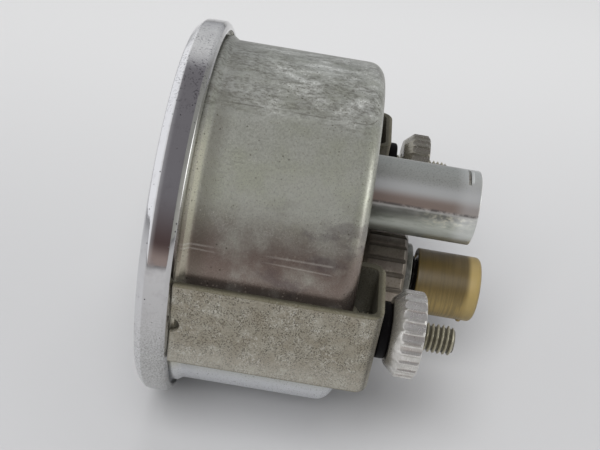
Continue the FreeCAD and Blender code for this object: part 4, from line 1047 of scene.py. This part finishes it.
class GAUGE_OT_dial(bpy.types.Operator):
    """Paint the dial and print its plain scale"""
    bl_idname = "gauge.dial"
    bl_label = "Dial"

    def execute(self, context):
        dress("dial_plate", paint_finish("matt_black_paint", "#17171a", "#202024", 0.6))
        white = paint_finish("printed_cream", "#e9e4d6", "#dbd4c2", 0.55)
        dress("dial_spacer", paint_finish("matt_grey_paint", "#5d5f61", "#54565a", 0.6))
        front = low("dial_plate", Y)
        parts = []
        marks, first, step = 11, 210.0, 240.0 / 10
        outer, figure_radius, figure_size = 21.2, 15.2, 4.2
        for i in range(marks * 2 - 1):
            angle = math.radians(first - step * i / 2.0)
            inner, half = (18.2, 0.35) if i % 2 == 0 else (19.4, 0.2)
            way = np.array([math.cos(angle), math.sin(angle)])
            across = np.array([-way[1], way[0]]) * half
            flat = np.array([way * inner - across, way * outer - across, way * outer + across,
                             way * inner + across])
            deep = [np.insert(flat, 1, y, axis=1) for y in (front - 0.03, front + 0.01)]
            ends = [face.mean(0, keepdims=True).repeat(4, 0) for face in deep]
            box = np.stack([ends[0], *deep, ends[1]])
            parts.append((box, grid_faces(4, 4, wrap_rows=False)))
        new_piece("dial_scale", parts, white)
        for i in range(0, marks, 2):
            angle = math.radians(first - step * i)
            text = bpy.data.curves.new("figure", "FONT")
            text.body = str(i)
            text.size = figure_size * MM
            text.align_x = "CENTER"
            text.align_y = "CENTER"
            text.extrude = 0.015 * MM
            shape = bpy.data.objects.new("figure", text)
            context.scene.collection.objects.link(shape)
            context.view_layer.update()
            mesh = bpy.data.meshes.new_from_object(shape.evaluated_get(context.evaluated_depsgraph_get()))
            bpy.data.objects.remove(shape)
            across, up = figure_radius * math.cos(angle), figure_radius * math.sin(angle)
            place = Matrix.Translation((across * MM, (front - 0.015) * MM, up * MM))
            mesh.transform(place @ Matrix.Rotation(math.radians(90.0), 4, "X"))
            mesh.materials.clear()
            mesh.materials.append(white)
            figure = bpy.data.objects.new("dial_figure_%d" % i, mesh)
            context.scene.collection.objects.link(figure)
            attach(figure, "gauge")
        return {"FINISHED"}


class GAUGE_OT_movement(bpy.types.Operator):
    """Give the glass, pointer and movement their finishes"""
    bl_idname = "gauge.movement"
    bl_label = "Glass, pointer and movement"

    def execute(self, context):
        dress("lens_glass", glass_finish())
        dress("pointer", paint_finish("signal_white_paint", "#ece6da", "#e0d8c8", 0.5))
        brass = brass_finish("rolled_brass", "#c9a35c", "#a98446")
        for node in ("pinion_arbor", "sector_gear", "movement_front_plate", "movement_rear_plate",
                     "movement_pillars", "link_bar", "bourdon_tip"):
            dress(node, brass)
        bronze = brass_finish("drawn_bronze", "#b88356", "#96653f")
        for node in ("hairspring", "bourdon_tube"):
            dress(node, bronze)
        screws = stud_finish()
        for node in ("dial_screws", "plate_screws", "block_screws"):
            dress(node, screws)
        return {"FINISHED"}


OPERATORS = (GAUGE_OT_stage, GAUGE_OT_bezel, GAUGE_OT_case, GAUGE_OT_lamp_tube, GAUGE_OT_port,
             GAUGE_OT_port_cap, GAUGE_OT_studs, GAUGE_OT_brackets, GAUGE_OT_washers, GAUGE_OT_thumb_nuts,
             GAUGE_OT_dial, GAUGE_OT_movement)


class GAUGE_PT_panel(bpy.types.Panel):
    """Lists the gauge's sizes, colours and steps"""
    bl_idname = "GAUGE_PT_panel"
    bl_label = "Oil Pressure Gauge"
    bl_space_type = "VIEW_3D"
    bl_region_type = "UI"
    bl_category = "Gauge"

    def draw(self, context):
        for group in (context.scene.gauge_sizes, context.scene.gauge_colours):
            for name in group.bl_rna.properties.keys():
                if name not in ("rna_type", "name"):
                    self.layout.prop(group, name)
        for operator in OPERATORS:
            self.layout.operator(operator.bl_idname)


CLASSES = (GaugeSizes, GaugeColours) + OPERATORS + (GAUGE_PT_panel,)


def register():
    for cls in CLASSES:
        bpy.utils.register_class(cls)
    bpy.types.Scene.gauge_sizes = bpy.props.PointerProperty(type=GaugeSizes)
    bpy.types.Scene.gauge_colours = bpy.props.PointerProperty(type=GaugeColours)


def unregister():
    del bpy.types.Scene.gauge_colours
    del bpy.types.Scene.gauge_sizes
    for cls in reversed(CLASSES):
        bpy.utils.unregister_class(cls)


def main():
    register()
    for operator in OPERATORS:
        group, name = operator.bl_idname.split(".")
        getattr(getattr(bpy.ops, group), name)()


if __name__ == "__main__":
    main()
